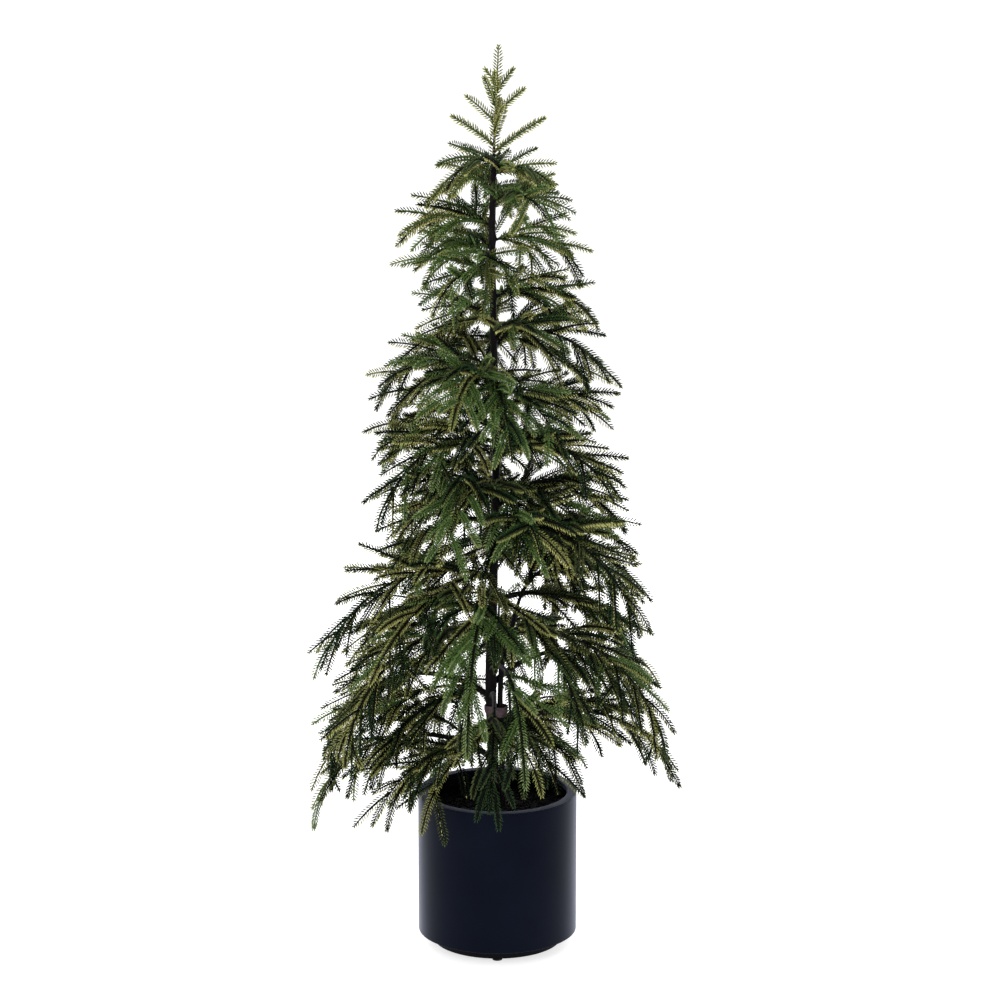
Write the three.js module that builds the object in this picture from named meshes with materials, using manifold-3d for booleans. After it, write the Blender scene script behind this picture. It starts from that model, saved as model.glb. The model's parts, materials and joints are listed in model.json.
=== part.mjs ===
// An artificial Norfolk Island pine in a round metal pot.
// Millimetres, +Z up. The pot's axis is the Z axis, the floor is z = 0 and the front faces -Y.
// Angles are in degrees: a heading turns from +X towards +Y, a rise is measured up from level.

import * as THREE from 'three';
import { mergeVertices } from 'three/addons/utils/BufferGeometryUtils.js';
import Module from 'manifold-3d';

const wasm = await Module();
wasm.setup();

// ---------------------------------------------------------------- driving dimensions

const TREE_HEIGHT = 1524;
const CLEARANCE = 0.3;

// The pot: a thin wall with a flat lip turned inwards, on a recessed ring with four pads.
const POT_RADIUS = 135;
const POT_TOP = 267;
const POT_BOTTOM = 21.7;
const POT_WALL = 3;
const POT_EDGE = 1.5;
const LIP_WIDTH = 16;
const LIP_FOLD = 9;
const RING_RADIUS = 110;
const RING_WIDTH = 14;
const PAD_RADIUS = 8.5;
const PAD_HEIGHT = 3.4;
const PAD_CIRCLE = 102;
const PAD_COUNT = 4;
const PAD_SIDES = 12;
const FILLER_TOP = 240;
const ROUND = 48;

// The trunk: a bark-covered pole that wanders a little. Each row is height, x, y, radius.
const TRUNK_FOOT = 60;
const TRUNK_TOP = 1345;
const TRUNK_STATIONS = [
  [TRUNK_FOOT, -6, 0, 9.8],
  [300, -7, 0, 9.8],
  [480, -11, 0, 9.4],
  [620, -7, 2, 7.6],
  [860, -2, 3, 6.6],
  [1070, -6.5, -2, 5.8],
  [1240, -8, -1, 5.2],
  [TRUNK_TOP, -6, 1, 4.6],
];
const TRUNK_SIDES = 8;
const TRUNK_STEPS = 26;
const BOUGH_SIDES = 6;

// A second, thinner stem is taped to the trunk and leaves it to the right.
const SECOND_STEM_STATIONS = [
  [110, 10, -1, 5.2],
  [300, 8.6, -1, 5.0],
  [440, 5.0, -1, 4.8],
  [490, 8, -2, 4.7],
  [545, 22, -4, 4.4],
  [592, 34, -5, 4.2],
];
const SECOND_STEM_STEPS = 14;
const SECOND_BRANCH = 225;
const SECOND_DROOP = 112;
const SECOND_BARE = 30;
const TAPE_BOTTOM = 398;
const TAPE_TOP = 418;
const TAPE_CENTRE = -2;
const TAPE_WIDTH = 35;
const TAPE_DEPTH = 25;
const TAPE_ROUND = 6;
const ROOM_OVER_TAPE = 12;
const ROOM_UNDER_TAPE = 30;

// Tiers of branches: height of the first root, number of branches, heading of the first one.
const TIERS = [
  [1332, 3, -140],
  [1278, 3, -60],
  [1212, 3, 10],
  [1140, 3, -125],
  [1045, 4, -25],
  [945, 3, -88],
  [868, 3, -150],
  [790, 3, -104],
  [700, 3, -45],
  [612, 3, -98],
  [545, 3, -150],
  [482, 3, -76],
  [400, 4, -90],
];
const LAST_TIER_DROP = 100;
const STAGGER = 1;
const FRONT_GIVE = 5;
const HEADING_GIVE = 14;
const HEIGHT_GIVE = 8;
const BOUGH_TIERS = 2;
const BOUGH_SHARE = 0.3;
const BOUGH_BARE_SHARE = 0.32;

// The crown's radius by the height of a branch's root.
const CROWN = [
  [1332, 113],
  [1275, 147],
  [1140, 183],
  [945, 219],
  [790, 262],
  [692, 280],
  [489, 306],
  [420, 312],
  [358, 295],
];

// How a branch grows: it rises from the trunk, arches over and droops to its tip.
const SEED = 1872;
const MASS_STRIDE = 101;
const REACH_GIVE = 0.13;
const RISE = 30;
const RISE_GIVE = 11;
const DROOP_AT_TOP = 76;
const DROOP_AT_FOOT = 104;
const DROOP_GAIN = 1.6;
const DROOP_GIVE = 12;
const BEND_GIVE = 14;
const BARE_SHARE = 0.14;
const STEP = 12;

// Side shoots stand left, right, and by turns below and above. A long one carries twigs.
const TIP_LENGTH = 92;
const TIP_BARE = 50;
const SHOOT_GAP = 15;
const SHOOT_LENGTH = 83;
const SHOOT_LENGTH_GIVE = 12;
const SHOOT_LENGTH_SHARE = 0.32;
const SPREAD = 42;
const SPREAD_GIVE = 8;
const SHOOT_RISE = 2;
const SHOOT_RISE_GIVE = 12;
const SHOOT_DROOP = 20;
const SHOOT_DROOP_GIVE = 12;
const FORKED_LENGTH = 118;
const FORK_SHARE = 0.3;
const TWIG_GAP = 24;
const TWIG_LENGTH = 64;
const TWIG_LENGTH_GIVE = 10;
const TWIG_SPREAD = 38;
const MIDDLE_SHARE = 0.85;
const MIDDLE_TURN_GIVE = 16;
const MIDDLE_LIFT_GIVE = 8;
const LIFT_ABOVE = 32;
const DROP_BELOW = 34;

// The leader's own sprigs stand around it, shorter and steeper towards its tip.
const LEADER_SEED = 5;
const LEADER_TIP_X = 2;
const LEADER_STEPS = 12;
const LEADER_SPRIGS = 10;
const LEADER_FIRST_SHARE = 0.04;
const LEADER_SPAN = 0.62;
const LEADER_LENGTH = 98;
const LEADER_SHORTER = 60;
const LEADER_LENGTH_GIVE = 8;
const LEADER_HEADING = 20;
const LEADER_HEADING_GIVE = 12;
const LEADER_RISE = 36;
const LEADER_STEEPER = 26;
const LEADER_RISE_GIVE = 6;
const LEADER_DROOP = 12;
const LEADER_BARE_SHARE = 0.4;
const GOLDEN_ANGLE = 137.5;

// Sprigs of needles, larger than life: a toothed, three-sided blade.
const SPRIG_SIDES = 3;
const WHORL_PITCH = 38;
const SPRIG_RADIUS = 15;
const SPRIG_CORE = 3.2;
const CORE_TAPER = 0.4;
const TOOTH_START = 0.12;
const TOOTH_END = 0.98;
const LAST_TOOTH_END = 0.45;
const LAST_TOOTH_SHARE = 0.72;
const TOOTHED_LENGTH = 115;
const ROOT_SUNK = 4;
const STEM_ROOT = 4.2;
const BOUGH_ROOT = 5.5;
const RING_EVERY = 40;

// Two of every five side shoots are solids, where they have room.
const SOLID_CYCLE = 5;
const SOLID_SHOOTS = 2;
const OWN_APART = 19;
const OWN_FREE = 32;
const SAMPLE = 8;
const APART = 1;
const TRUNK_APART = 20;
const ROOT_FREE = 30;

// Corners nearer than this are one. A route steeper than the limit takes its sides from the X axis.
const WELD = 1e-4;
const LEVEL_LIMIT = 0.2;

// ---------------------------------------------------------------- materials

function finish(color, roughness, metalness) {
  return new THREE.MeshStandardMaterial({ color, roughness, metalness });
}

const POT_PAINT = finish(0x10141d, 0.4, 0.3);
const PAD_RUBBER = finish(0x0c0c0e, 0.8, 0);
const FILLER_DARK = finish(0x0b0b0c, 0.9, 0);
const BARK = finish(0x2c2126, 0.75, 0);
const TAPE = finish(0x55404a, 0.6, 0);
const NEEDLES = finish(0x3f5a30, 0.6, 0);

// ---------------------------------------------------------------- numbers and curves

const X_AXIS = new THREE.Vector3(1, 0, 0);
const Z_AXIS = new THREE.Vector3(0, 0, 1);

function generator(seed) {
  let state = seed | 0;
  return () => {
    state = (state + 0x6d2b79f5) | 0;
    let t = Math.imul(state ^ (state >>> 15), state | 1);
    t ^= t + Math.imul(t ^ (t >>> 7), t | 61);
    return ((t ^ (t >>> 14)) >>> 0) / 4294967296;
  };
}

function around(draw, middle, give) {
  return middle + give * (2 * draw() - 1);
}

function radians(degrees) {
  return (degrees * Math.PI) / 180;
}

// The columns of a table at a key, between its rows. The keys rise or fall down the table.
function lookUp(table, key) {
  const falling = table[0][0] > table[table.length - 1][0];
  const rows = falling ? [...table].reverse() : table;
  const above = rows.findIndex((row) => row[0] >= key);
  if (above === 0) return rows[0].slice(1);
  if (above < 0) return rows[rows.length - 1].slice(1);
  const [low, high] = [rows[above - 1], rows[above]];
  const share = (key - low[0]) / (high[0] - low[0]);
  return low.slice(1).map((value, i) => value + (high[i + 1] - value) * share);
}

function direction(heading, rise) {
  const [turn, lift] = [radians(heading), radians(rise)];
  return new THREE.Vector3(
    Math.cos(lift) * Math.cos(turn),
    Math.cos(lift) * Math.sin(turn),
    Math.sin(lift),
  );
}

// A shoot's route: it starts at a heading and a rise, loses `droop` and turns by `bend` on its way.
function grownRoute(start, heading, rise, length, droop, bend) {
  const count = Math.max(3, Math.round(length / STEP));
  const points = [start.clone()];
  for (let i = 0; i < count; i += 1) {
    const share = (i + 0.5) / count;
    const way = direction(heading + bend * share, rise - droop * share);
    points.push(points[i].clone().addScaledVector(way, length / count));
  }
  return { points, heading, rise, length, droop, bend };
}

function routePoint(route, share) {
  const last = route.points.length - 1;
  const index = Math.min(last - 1, Math.floor(share * last));
  return route.points[index].clone().lerp(route.points[index + 1], share * last - index);
}

// A route along table rows of height, x, y and radius, smoothed by a curve.
function stationRoute(stations, steps) {
  const knots = stations.map(([z, x, y]) => new THREE.Vector3(x, y, z));
  const points = new THREE.CatmullRomCurve3(knots).getSpacedPoints(steps);
  const length = points.slice(1).reduce((sum, point, i) => sum + point.distanceTo(points[i]), 0);
  return { points, length };
}

function routeTangents(points) {
  const last = points.length - 1;
  return points.map((point, i) => {
    const before = points[Math.max(0, i - 1)];
    const after = points[Math.min(last, i + 1)];
    return after.clone().sub(before).normalize();
  });
}

// ---------------------------------------------------------------- solids

function turned(outline, sides) {
  const profile = outline.map(([radius, height]) => new THREE.Vector2(radius, height));
  return new THREE.LatheGeometry(profile, sides);
}

// Stands a turned shape, whose axis is Y, upright along Z.
function upright(geometry) {
  return geometry.rotateX(Math.PI / 2);
}

// Bends a turned shape, whose axis runs from 0 to the route's length, along the route.
function bent(geometry, route, reference) {
  const { points } = route;
  const last = points.length - 1;
  const tangents = routeTangents(points);
  const position = geometry.getAttribute('position');
  for (let i = 0; i < position.count; i += 1) {
    const share = THREE.MathUtils.clamp(position.getY(i) / route.length, 0, 1);
    const index = Math.min(last - 1, Math.floor(share * last));
    const part = share * last - index;
    const centre = points[index].clone().lerp(points[index + 1], part);
    const tangent = tangents[index].clone().lerp(tangents[index + 1], part).normalize();
    const across = reference.clone().addScaledVector(tangent, -reference.dot(tangent)).normalize();
    const over = across.clone().cross(tangent);
    centre.addScaledVector(across, position.getX(i)).addScaledVector(over, position.getZ(i));
    position.setXYZ(i, centre.x, centre.y, centre.z);
  }
  return geometry;
}

function solidOf(geometry) {
  const plain = geometry.index ? geometry.clone() : mergeVertices(geometry);
  plain.deleteAttribute('normal');
  plain.deleteAttribute('uv');
  const merged = mergeVertices(plain, WELD);
  const corners = merged.index.array;
  const kept = [];
  for (let i = 0; i < corners.length; i += 3) {
    const [a, b, c] = [corners[i], corners[i + 1], corners[i + 2]];
    if (a !== b && b !== c && c !== a) kept.push(a, b, c);
  }
  const mesh = new wasm.Mesh({
    numProp: 3,
    vertProperties: new Float32Array(merged.getAttribute('position').array),
    triVerts: new Uint32Array(kept),
  });
  const solid = new wasm.Manifold(mesh);
  return solid.volume() < 0 ? flipped(mesh) : solid;
}

function flipped(mesh) {
  const turnedRound = Uint32Array.from(mesh.triVerts);
  for (let i = 0; i < turnedRound.length; i += 3) {
    [turnedRound[i], turnedRound[i + 1]] = [turnedRound[i + 1], turnedRound[i]];
  }
  return new wasm.Manifold(
    new wasm.Mesh({ numProp: 3, vertProperties: mesh.vertProperties, triVerts: turnedRound }),
  );
}

// The largest single body of a solid, without loose scraps and sealed hollows.
function mainBody(solid) {
  const pieces = solid.decompose();
  return pieces.reduce((best, piece) => (piece.volume() > best.volume() ? piece : best));
}

function geometryOf(solid) {
  const mesh = solid.getMesh();
  const geometry = new THREE.BufferGeometry();
  geometry.setAttribute('position', new THREE.BufferAttribute(new Float32Array(mesh.vertProperties), 3));
  geometry.setIndex(new THREE.BufferAttribute(new Uint32Array(mesh.triVerts), 1));
  geometry.computeVertexNormals();
  return geometry;
}

// A round, tapering limb along a route. `radiusAt` takes the share of the way along it.
function limb(route, radiusAt, sides, reference, grow = 0) {
  const rings = route.points.map((point, i) => {
    const share = i / (route.points.length - 1);
    return [radiusAt(share) + grow, share * route.length];
  });
  return solidOf(bent(turned([[0, 0], ...rings, [0, route.length]], sides), route, reference));
}

// ---------------------------------------------------------------- pot

function potGeometry() {
  const outer = POT_RADIUS;
  const inner = outer - POT_WALL;
  const lip = outer - LIP_WIDTH;
  return upright(turned([
    [0, POT_BOTTOM],
    [outer - POT_EDGE, POT_BOTTOM],
    [outer, POT_BOTTOM + POT_EDGE],
    [outer, POT_TOP - POT_EDGE],
    [outer - POT_EDGE, POT_TOP],
    [lip + POT_EDGE, POT_TOP],
    [lip, POT_TOP - POT_EDGE],
    [lip, POT_TOP - LIP_FOLD],
    [lip + POT_WALL, POT_TOP - LIP_FOLD],
    [lip + POT_WALL, POT_TOP - POT_WALL],
    [inner, POT_TOP - POT_WALL],
    [inner, POT_BOTTOM + POT_WALL],
    [0, POT_BOTTOM + POT_WALL],
  ], ROUND));
}

function ringGeometry() {
  const top = POT_BOTTOM - CLEARANCE;
  const inner = RING_RADIUS - RING_WIDTH;
  const foot = PAD_HEIGHT + CLEARANCE;
  return upright(turned([
    [inner, foot],
    [RING_RADIUS, foot],
    [RING_RADIUS, top],
    [inner, top],
    [inner, foot],
  ], ROUND));
}

function padGeometry(index) {
  const turn = radians(-90 + (360 / PAD_COUNT) * index);
  const pad = new THREE.CylinderGeometry(PAD_RADIUS, PAD_RADIUS, PAD_HEIGHT, PAD_SIDES);
  pad.rotateX(Math.PI / 2);
  return pad.translate(PAD_CIRCLE * Math.cos(turn), PAD_CIRCLE * Math.sin(turn), PAD_HEIGHT / 2);
}

function fillerSolid(stems) {
  const radius = POT_RADIUS - POT_WALL - CLEARANCE;
  const bottom = POT_BOTTOM + POT_WALL + CLEARANCE;
  const block = solidOf(upright(turned([
    [0, bottom],
    [radius, bottom],
    [radius, FILLER_TOP],
    [0, FILLER_TOP],
  ], ROUND)));
  return mainBody(stems.reduce((solid, stem) => solid.subtract(stem), block));
}

// ---------------------------------------------------------------- trunk, stem and tape

function stationLimb(stations, steps, grow = 0) {
  const route = stationRoute(stations, steps);
  const heights = route.points.map((point) => lookUp(stations, point.z)[2]);
  const radiusAt = (share) => heights[Math.round(share * steps)];
  return limb(route, radiusAt, TRUNK_SIDES, X_AXIS, grow);
}

function trunkCentre(height) {
  const [x, y] = lookUp(TRUNK_STATIONS, height);
  return new THREE.Vector3(x, y, height);
}

function tapeSolid(stems) {
  const half = TAPE_DEPTH / 2;
  const straight = TAPE_WIDTH / 2 - half;
  const outline = new THREE.Shape();
  outline.absarc(TAPE_CENTRE + straight, 0, half, -Math.PI / 2, Math.PI / 2);
  outline.absarc(TAPE_CENTRE - straight, 0, half, Math.PI / 2, (3 * Math.PI) / 2);
  outline.closePath();
  const band = new THREE.ExtrudeGeometry(outline, {
    depth: TAPE_TOP - TAPE_BOTTOM,
    bevelEnabled: false,
    curveSegments: TAPE_ROUND,
  });
  const solid = solidOf(band.translate(0, 0, TAPE_BOTTOM));
  return mainBody(stems.reduce((rest, stem) => rest.subtract(stem), solid));
}

// ---------------------------------------------------------------- growth

// How long a side shoot grows with some of its parent left beyond it.
function shootLength(draw, level, left) {
  if (level > 1) return around(draw, TWIG_LENGTH, TWIG_LENGTH_GIVE);
  return around(draw, SHOOT_LENGTH, SHOOT_LENGTH_GIVE) + SHOOT_LENGTH_SHARE * Math.max(0, left - TIP_LENGTH);
}

// Every shoot of a branch, in the order in which it is drawn: { route, level, order }.
function sideShoots(draw, parent, first, level, gap, spread) {
  const shoots = [];
  let order = 0;
  for (let along = first; along < parent.length - TIP_BARE; along += gap) {
    const share = along / parent.length;
    let length = shootLength(draw, level, parent.length - along);
    let heading = parent.heading + parent.bend * share;
    let rise = parent.rise - parent.droop * share;
    if (order % 3 === 2) {
      heading += around(draw, 0, MIDDLE_TURN_GIVE);
      rise += (order % 6 === 5 ? LIFT_ABOVE : -DROP_BELOW) + around(draw, 0, MIDDLE_LIFT_GIVE);
      length *= MIDDLE_SHARE;
    } else {
      heading += (order % 3 ? 1 : -1) * around(draw, spread, SPREAD_GIVE);
      rise += around(draw, SHOOT_RISE, SHOOT_RISE_GIVE);
    }
    const droop = around(draw, SHOOT_DROOP, SHOOT_DROOP_GIVE);
    const bend = around(draw, 0, BEND_GIVE);
    const route = grownRoute(routePoint(parent, share), heading, rise, length, droop, bend);
    shoots.push({ route, level, order });
    if (length > FORKED_LENGTH) {
      shoots.push(...sideShoots(draw, route, length * FORK_SHARE, level + 1, TWIG_GAP, TWIG_SPREAD));
    }
    order += 1;
  }
  return shoots;
}

// The arc length that reaches a distance out from the trunk while it rises and droops.
function arcLength(reach, rise, droop) {
  const [start, turn] = [radians(rise), radians(droop)];
  return (reach * turn) / (Math.sin(start) - Math.sin(start - turn));
}

// No branch leaves the trunk behind the tape or close under it: its root moves clear, down or up.
function clearOfTape(height) {
  const [low, high] = [TAPE_BOTTOM - ROOM_UNDER_TAPE, TAPE_TOP + ROOM_OVER_TAPE];
  if (height < low || height > high) return height;
  return height < TAPE_BOTTOM - ROOM_UNDER_TAPE / 3 ? low : high;
}

function branchOf(mass, tier, slot) {
  const draw = generator(SEED + MASS_STRIDE * mass);
  const [top, count, firstHeading] = TIERS[tier];
  const below = tier + 1 < TIERS.length ? TIERS[tier + 1][0] : top - LAST_TIER_DROP;
  const give = slot === 0 ? FRONT_GIVE : HEADING_GIVE;
  const heading = firstHeading + (360 * slot) / count + around(draw, 0, give);
  const height = clearOfTape(top - (STAGGER * (top - below) * slot) / count + around(draw, 0, HEIGHT_GIVE));
  const reach = lookUp(CROWN, height)[0] * around(draw, 1, REACH_GIVE);
  const depth = (TIERS[0][0] - height) / (TIERS[0][0] - TIERS[TIERS.length - 1][0]);
  const rise = around(draw, RISE, RISE_GIVE);
  const gain = Math.min(1, depth * DROOP_GAIN);
  const droop = around(draw, DROOP_AT_TOP + (DROOP_AT_FOOT - DROOP_AT_TOP) * gain, DROOP_GIVE);
  const bend = around(draw, 0, BEND_GIVE);
  const length = arcLength(reach, rise, droop);
  const axis = grownRoute(trunkCentre(height), heading, rise, length, droop, bend);
  const onBough = TIERS.length - tier <= BOUGH_TIERS;
  const bare = onBough ? BOUGH_BARE_SHARE : BARE_SHARE;
  const shoots = sideShoots(draw, axis, length * bare, 1, SHOOT_GAP, SPREAD);
  return { name: `spray_${tier + 1}_${slot + 1}`, axis, shoots, onBough };
}

// The branch that carries on from the second stem's tip, the way the stem points.
function secondBranch(mass) {
  const draw = generator(SEED + MASS_STRIDE * mass);
  const { points } = stationRoute(SECOND_STEM_STATIONS, SECOND_STEM_STEPS);
  const tip = points[points.length - 1];
  const way = tip.clone().sub(points[points.length - 2]).normalize();
  const heading = THREE.MathUtils.radToDeg(Math.atan2(way.y, way.x));
  const rise = THREE.MathUtils.radToDeg(Math.asin(way.z));
  const start = tip.clone().addScaledVector(way, 2 * CLEARANCE);
  const axis = grownRoute(start, heading, rise, SECOND_BRANCH, SECOND_DROOP, 0);
  const shoots = sideShoots(draw, axis, SECOND_BARE, 1, SHOOT_GAP, SPREAD);
  return { name: 'spray_second_stem', axis, shoots, onStem: true };
}

function leader() {
  const draw = generator(SEED + LEADER_SEED);
  const foot = trunkCentre(TRUNK_TOP + CLEARANCE);
  const tip = new THREE.Vector3(LEADER_TIP_X, 0, TREE_HEIGHT);
  const steps = Array.from({ length: LEADER_STEPS + 1 }, (unused, i) => i / LEADER_STEPS);
  const axis = { points: steps.map((share) => foot.clone().lerp(tip, share)), length: foot.distanceTo(tip) };
  const shoots = [];
  for (let order = 0; order < LEADER_SPRIGS; order += 1) {
    const share = order / (LEADER_SPRIGS - 1);
    const length = around(draw, LEADER_LENGTH - LEADER_SHORTER * share, LEADER_LENGTH_GIVE);
    const heading = LEADER_HEADING + GOLDEN_ANGLE * order + around(draw, 0, LEADER_HEADING_GIVE);
    const rise = around(draw, LEADER_RISE + LEADER_STEEPER * share, LEADER_RISE_GIVE);
    const start = routePoint(axis, LEADER_FIRST_SHARE + LEADER_SPAN * share);
    const route = grownRoute(start, heading, rise, length, LEADER_DROOP, 0);
    shoots.push({ route, level: 1, order });
  }
  return { name: 'crown_tip', axis, shoots, isLeader: true };
}

// ---------------------------------------------------------------- sprigs as solids

// A stem as far as `bare`, then whorls of forward-leaning teeth to a pointed tip.
function sprigSolid(route, bare, root) {
  const outline = [[0, 0], [root, 0]];
  const rings = Math.round(bare / RING_EVERY);
  for (let ring = 1; ring <= rings; ring += 1) {
    const share = ring / rings;
    outline.push([root + (SPRIG_CORE - root) * share, bare * share]);
  }
  const start = Math.max(bare, ROOT_SUNK);
  const whorls = Math.round((route.length - start) / WHORL_PITCH);
  const pitch = (route.length - start) / whorls;
  for (let whorl = 0; whorl < whorls; whorl += 1) {
    const last = whorl === whorls - 1;
    const core = SPRIG_CORE * (1 - (CORE_TAPER * whorl) / whorls);
    const radius = SPRIG_RADIUS * (last ? LAST_TOOTH_SHARE : 1);
    const end = last ? LAST_TOOTH_END : TOOTH_END;
    if (whorl > 0) outline.push([core, start + pitch * (whorl + TOOTH_START)]);
    outline.push([radius, start + pitch * (whorl + end)]);
  }
  outline.push([0, route.length]);
  return solidOf(bent(turned(outline, SPRIG_SIDES), route, sideways(route)));
}

// A level direction across a route's start, or the X axis where the route stands upright.
function sideways(route) {
  const across = Z_AXIS.clone().cross(routeTangents(route.points)[0]);
  return across.length() > LEVEL_LIMIT ? across.normalize() : X_AXIS;
}

// Balls along a route that stand for its room: thin on the stem, wide on the needles.
function ballsOf(route, bare) {
  const count = Math.ceil(route.length / SAMPLE);
  return Array.from({ length: count + 1 }, (unused, i) => {
    const along = (route.length * i) / count;
    const radius = along < bare ? STEM_ROOT : SPRIG_RADIUS;
    return { centre: routePoint(route, i / count), radius, along };
  });
}

// Whether a shoot keeps its distance from other branches and, beyond its root, from its own.
function clearOfOthers(balls, taken, owner) {
  return balls.every((ball) => taken.every((other) => {
    const distance = ball.centre.distanceTo(other.centre);
    if (other.owner === owner) return ball.along < OWN_FREE || distance > OWN_APART;
    return distance > ball.radius + other.radius + APART;
  }));
}

function clearOfPotAndTrunk(balls, onTrunk) {
  return balls.every(({ centre, radius, along }) => {
    const fromAxis = Math.hypot(centre.x, centre.y);
    if (centre.z < POT_TOP + radius && fromAxis < POT_RADIUS + radius) return false;
    if (onTrunk && along < ROOT_FREE) return true;
    return centre.z > TRUNK_TOP || trunkCentre(centre.z).distanceTo(centre) > TRUNK_APART;
  });
}

// ---------------------------------------------------------------- assembly

function allBranches() {
  const branches = [];
  TIERS.forEach(([, count], tier) => {
    for (let slot = 0; slot < count; slot += 1) branches.push(branchOf(branches.length, tier, slot));
  });
  branches.push(secondBranch(branches.length));
  branches.push(leader());
  return branches;
}

// Splits a bough's route from its spray's, with a clearance between the two cut faces.
function splitRoute(route, share) {
  const last = route.points.length - 1;
  const cut = Math.floor(share * last);
  const at = routePoint(route, share);
  const onward = route.points[cut + 1].clone().sub(at).normalize();
  const inner = [...route.points.slice(0, cut + 1), at];
  const outer = [at.clone().addScaledVector(onward, CLEARANCE), ...route.points.slice(cut + 1)];
  return [
    { points: inner, length: route.length * share },
    { points: outer, length: route.length * (1 - share) - CLEARANCE },
  ];
}

function bareLength(route) {
  return Math.max(0, route.length - TOOTHED_LENGTH);
}

// Chooses which of the branches' shoots have room, trying the branches in turn.
function shootsWithRoom(branches, kept) {
  const taken = [...kept];
  branches.forEach((branch, owner) => {
    const bare = branch.isLeader ? branch.axis.length * LEADER_BARE_SHARE : bareLength(branch.axis);
    ballsOf(branch.axis, bare).forEach((ball) => taken.push({ ...ball, owner }));
  });
  const chosen = branches.map(() => []);
  const most = Math.max(...branches.map((branch) => branch.shoots.length));
  for (let i = 0; i < most; i += 1) {
    branches.forEach((branch, owner) => {
      const shoot = branch.shoots[i];
      if (!shoot || !isSolid(branch, shoot)) return;
      const balls = ballsOf(shoot.route, bareLength(shoot.route));
      if (!clearOfOthers(balls, taken, owner) || !clearOfPotAndTrunk(balls, branch.isLeader)) return;
      balls.forEach((ball) => taken.push({ ...ball, owner }));
      chosen[owner].push(shoot);
    });
  }
  return chosen;
}

function isSolid(branch, shoot) {
  return branch.isLeader || (shoot.level === 1 && shoot.order % SOLID_CYCLE < SOLID_SHOOTS);
}

function spraySolid(axisRoute, shoots, cutters) {
  const parts = [sprigSolid(axisRoute, bareLength(axisRoute), STEM_ROOT)];
  shoots.forEach(({ route }) => parts.push(sprigSolid(route, bareLength(route), SPRIG_CORE)));
  const fused = wasm.Manifold.union(parts);
  return mainBody(cutters.reduce((solid, cutter) => solid.subtract(cutter), fused));
}

function named(name, geometry, material) {
  const mesh = new THREE.Mesh(geometry, material);
  mesh.name = name;
  return mesh;
}

function buildPot(stems) {
  const group = new THREE.Group();
  group.add(named('pot', potGeometry(), POT_PAINT));
  group.add(named('base_ring', ringGeometry(), POT_PAINT));
  for (let i = 0; i < PAD_COUNT; i += 1) group.add(named(`pad_${i + 1}`, padGeometry(i), PAD_RUBBER));
  group.add(named('pot_filler', geometryOf(fillerSolid(stems)), FILLER_DARK));
  return group;
}

function boughSolid(route, cutters) {
  const radiusAt = (share) => BOUGH_ROOT + (STEM_ROOT - BOUGH_ROOT) * share;
  const solid = limb(route, radiusAt, BOUGH_SIDES, sideways(route));
  return mainBody(cutters.reduce((rest, cutter) => rest.subtract(cutter), solid));
}

// The branches' nodes. `cutters` are the trunk and the second stem with their clearance.
function buildBranches(cutters) {
  const group = new THREE.Group();
  const branches = allBranches();
  const stem = stationRoute(SECOND_STEM_STATIONS, SECOND_STEM_STEPS);
  const owner = branches.findIndex((branch) => branch.onStem);
  const kept = ballsOf(stem, stem.length + 1).map((ball) => ({ ...ball, owner }));
  const chosen = shootsWithRoom(branches, kept);
  branches.forEach((branch, i) => {
    let route = branch.axis;
    if (branch.onBough) {
      const [inner, outer] = splitRoute(branch.axis, BOUGH_SHARE);
      const bough = geometryOf(boughSolid(inner, cutters));
      group.add(named(branch.name.replace('spray', 'bough'), bough, BARK));
      route = outer;
    }
    const spray = spraySolid(route, chosen[i], branch.onStem ? [] : cutters);
    group.add(named(branch.name, geometryOf(spray), NEEDLES));
  });
  return group;
}

const trunk = stationLimb(TRUNK_STATIONS, TRUNK_STEPS);
const trunkRoom = stationLimb(TRUNK_STATIONS, TRUNK_STEPS, CLEARANCE);
const secondStem = mainBody(stationLimb(SECOND_STEM_STATIONS, SECOND_STEM_STEPS).subtract(trunkRoom));
const secondRoom = stationLimb(SECOND_STEM_STATIONS, SECOND_STEM_STEPS, CLEARANCE);
const stems = [trunkRoom, secondRoom];

const part = new THREE.Group();
part.add(buildPot(stems));
part.add(named('trunk', geometryOf(trunk), BARK));
part.add(named('second_stem', geometryOf(secondStem), BARK));
part.add(named('tape', geometryOf(tapeSolid(stems)), TAPE));
part.add(buildBranches(stems));

export default part;
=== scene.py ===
"""Looks of the artificial Norfolk Island pine in its round metal pot.

Metres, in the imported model's frame: +Z up, the front faces -Y, the pot's axis is the Z axis.
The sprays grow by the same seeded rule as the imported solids, carried on to every sprig and needle.
Angles are in degrees: a heading turns from +X towards +Y, a rise is measured up from level.
A value called a give is how far a random draw may stray to either side.
"""

import json
import math

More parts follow.
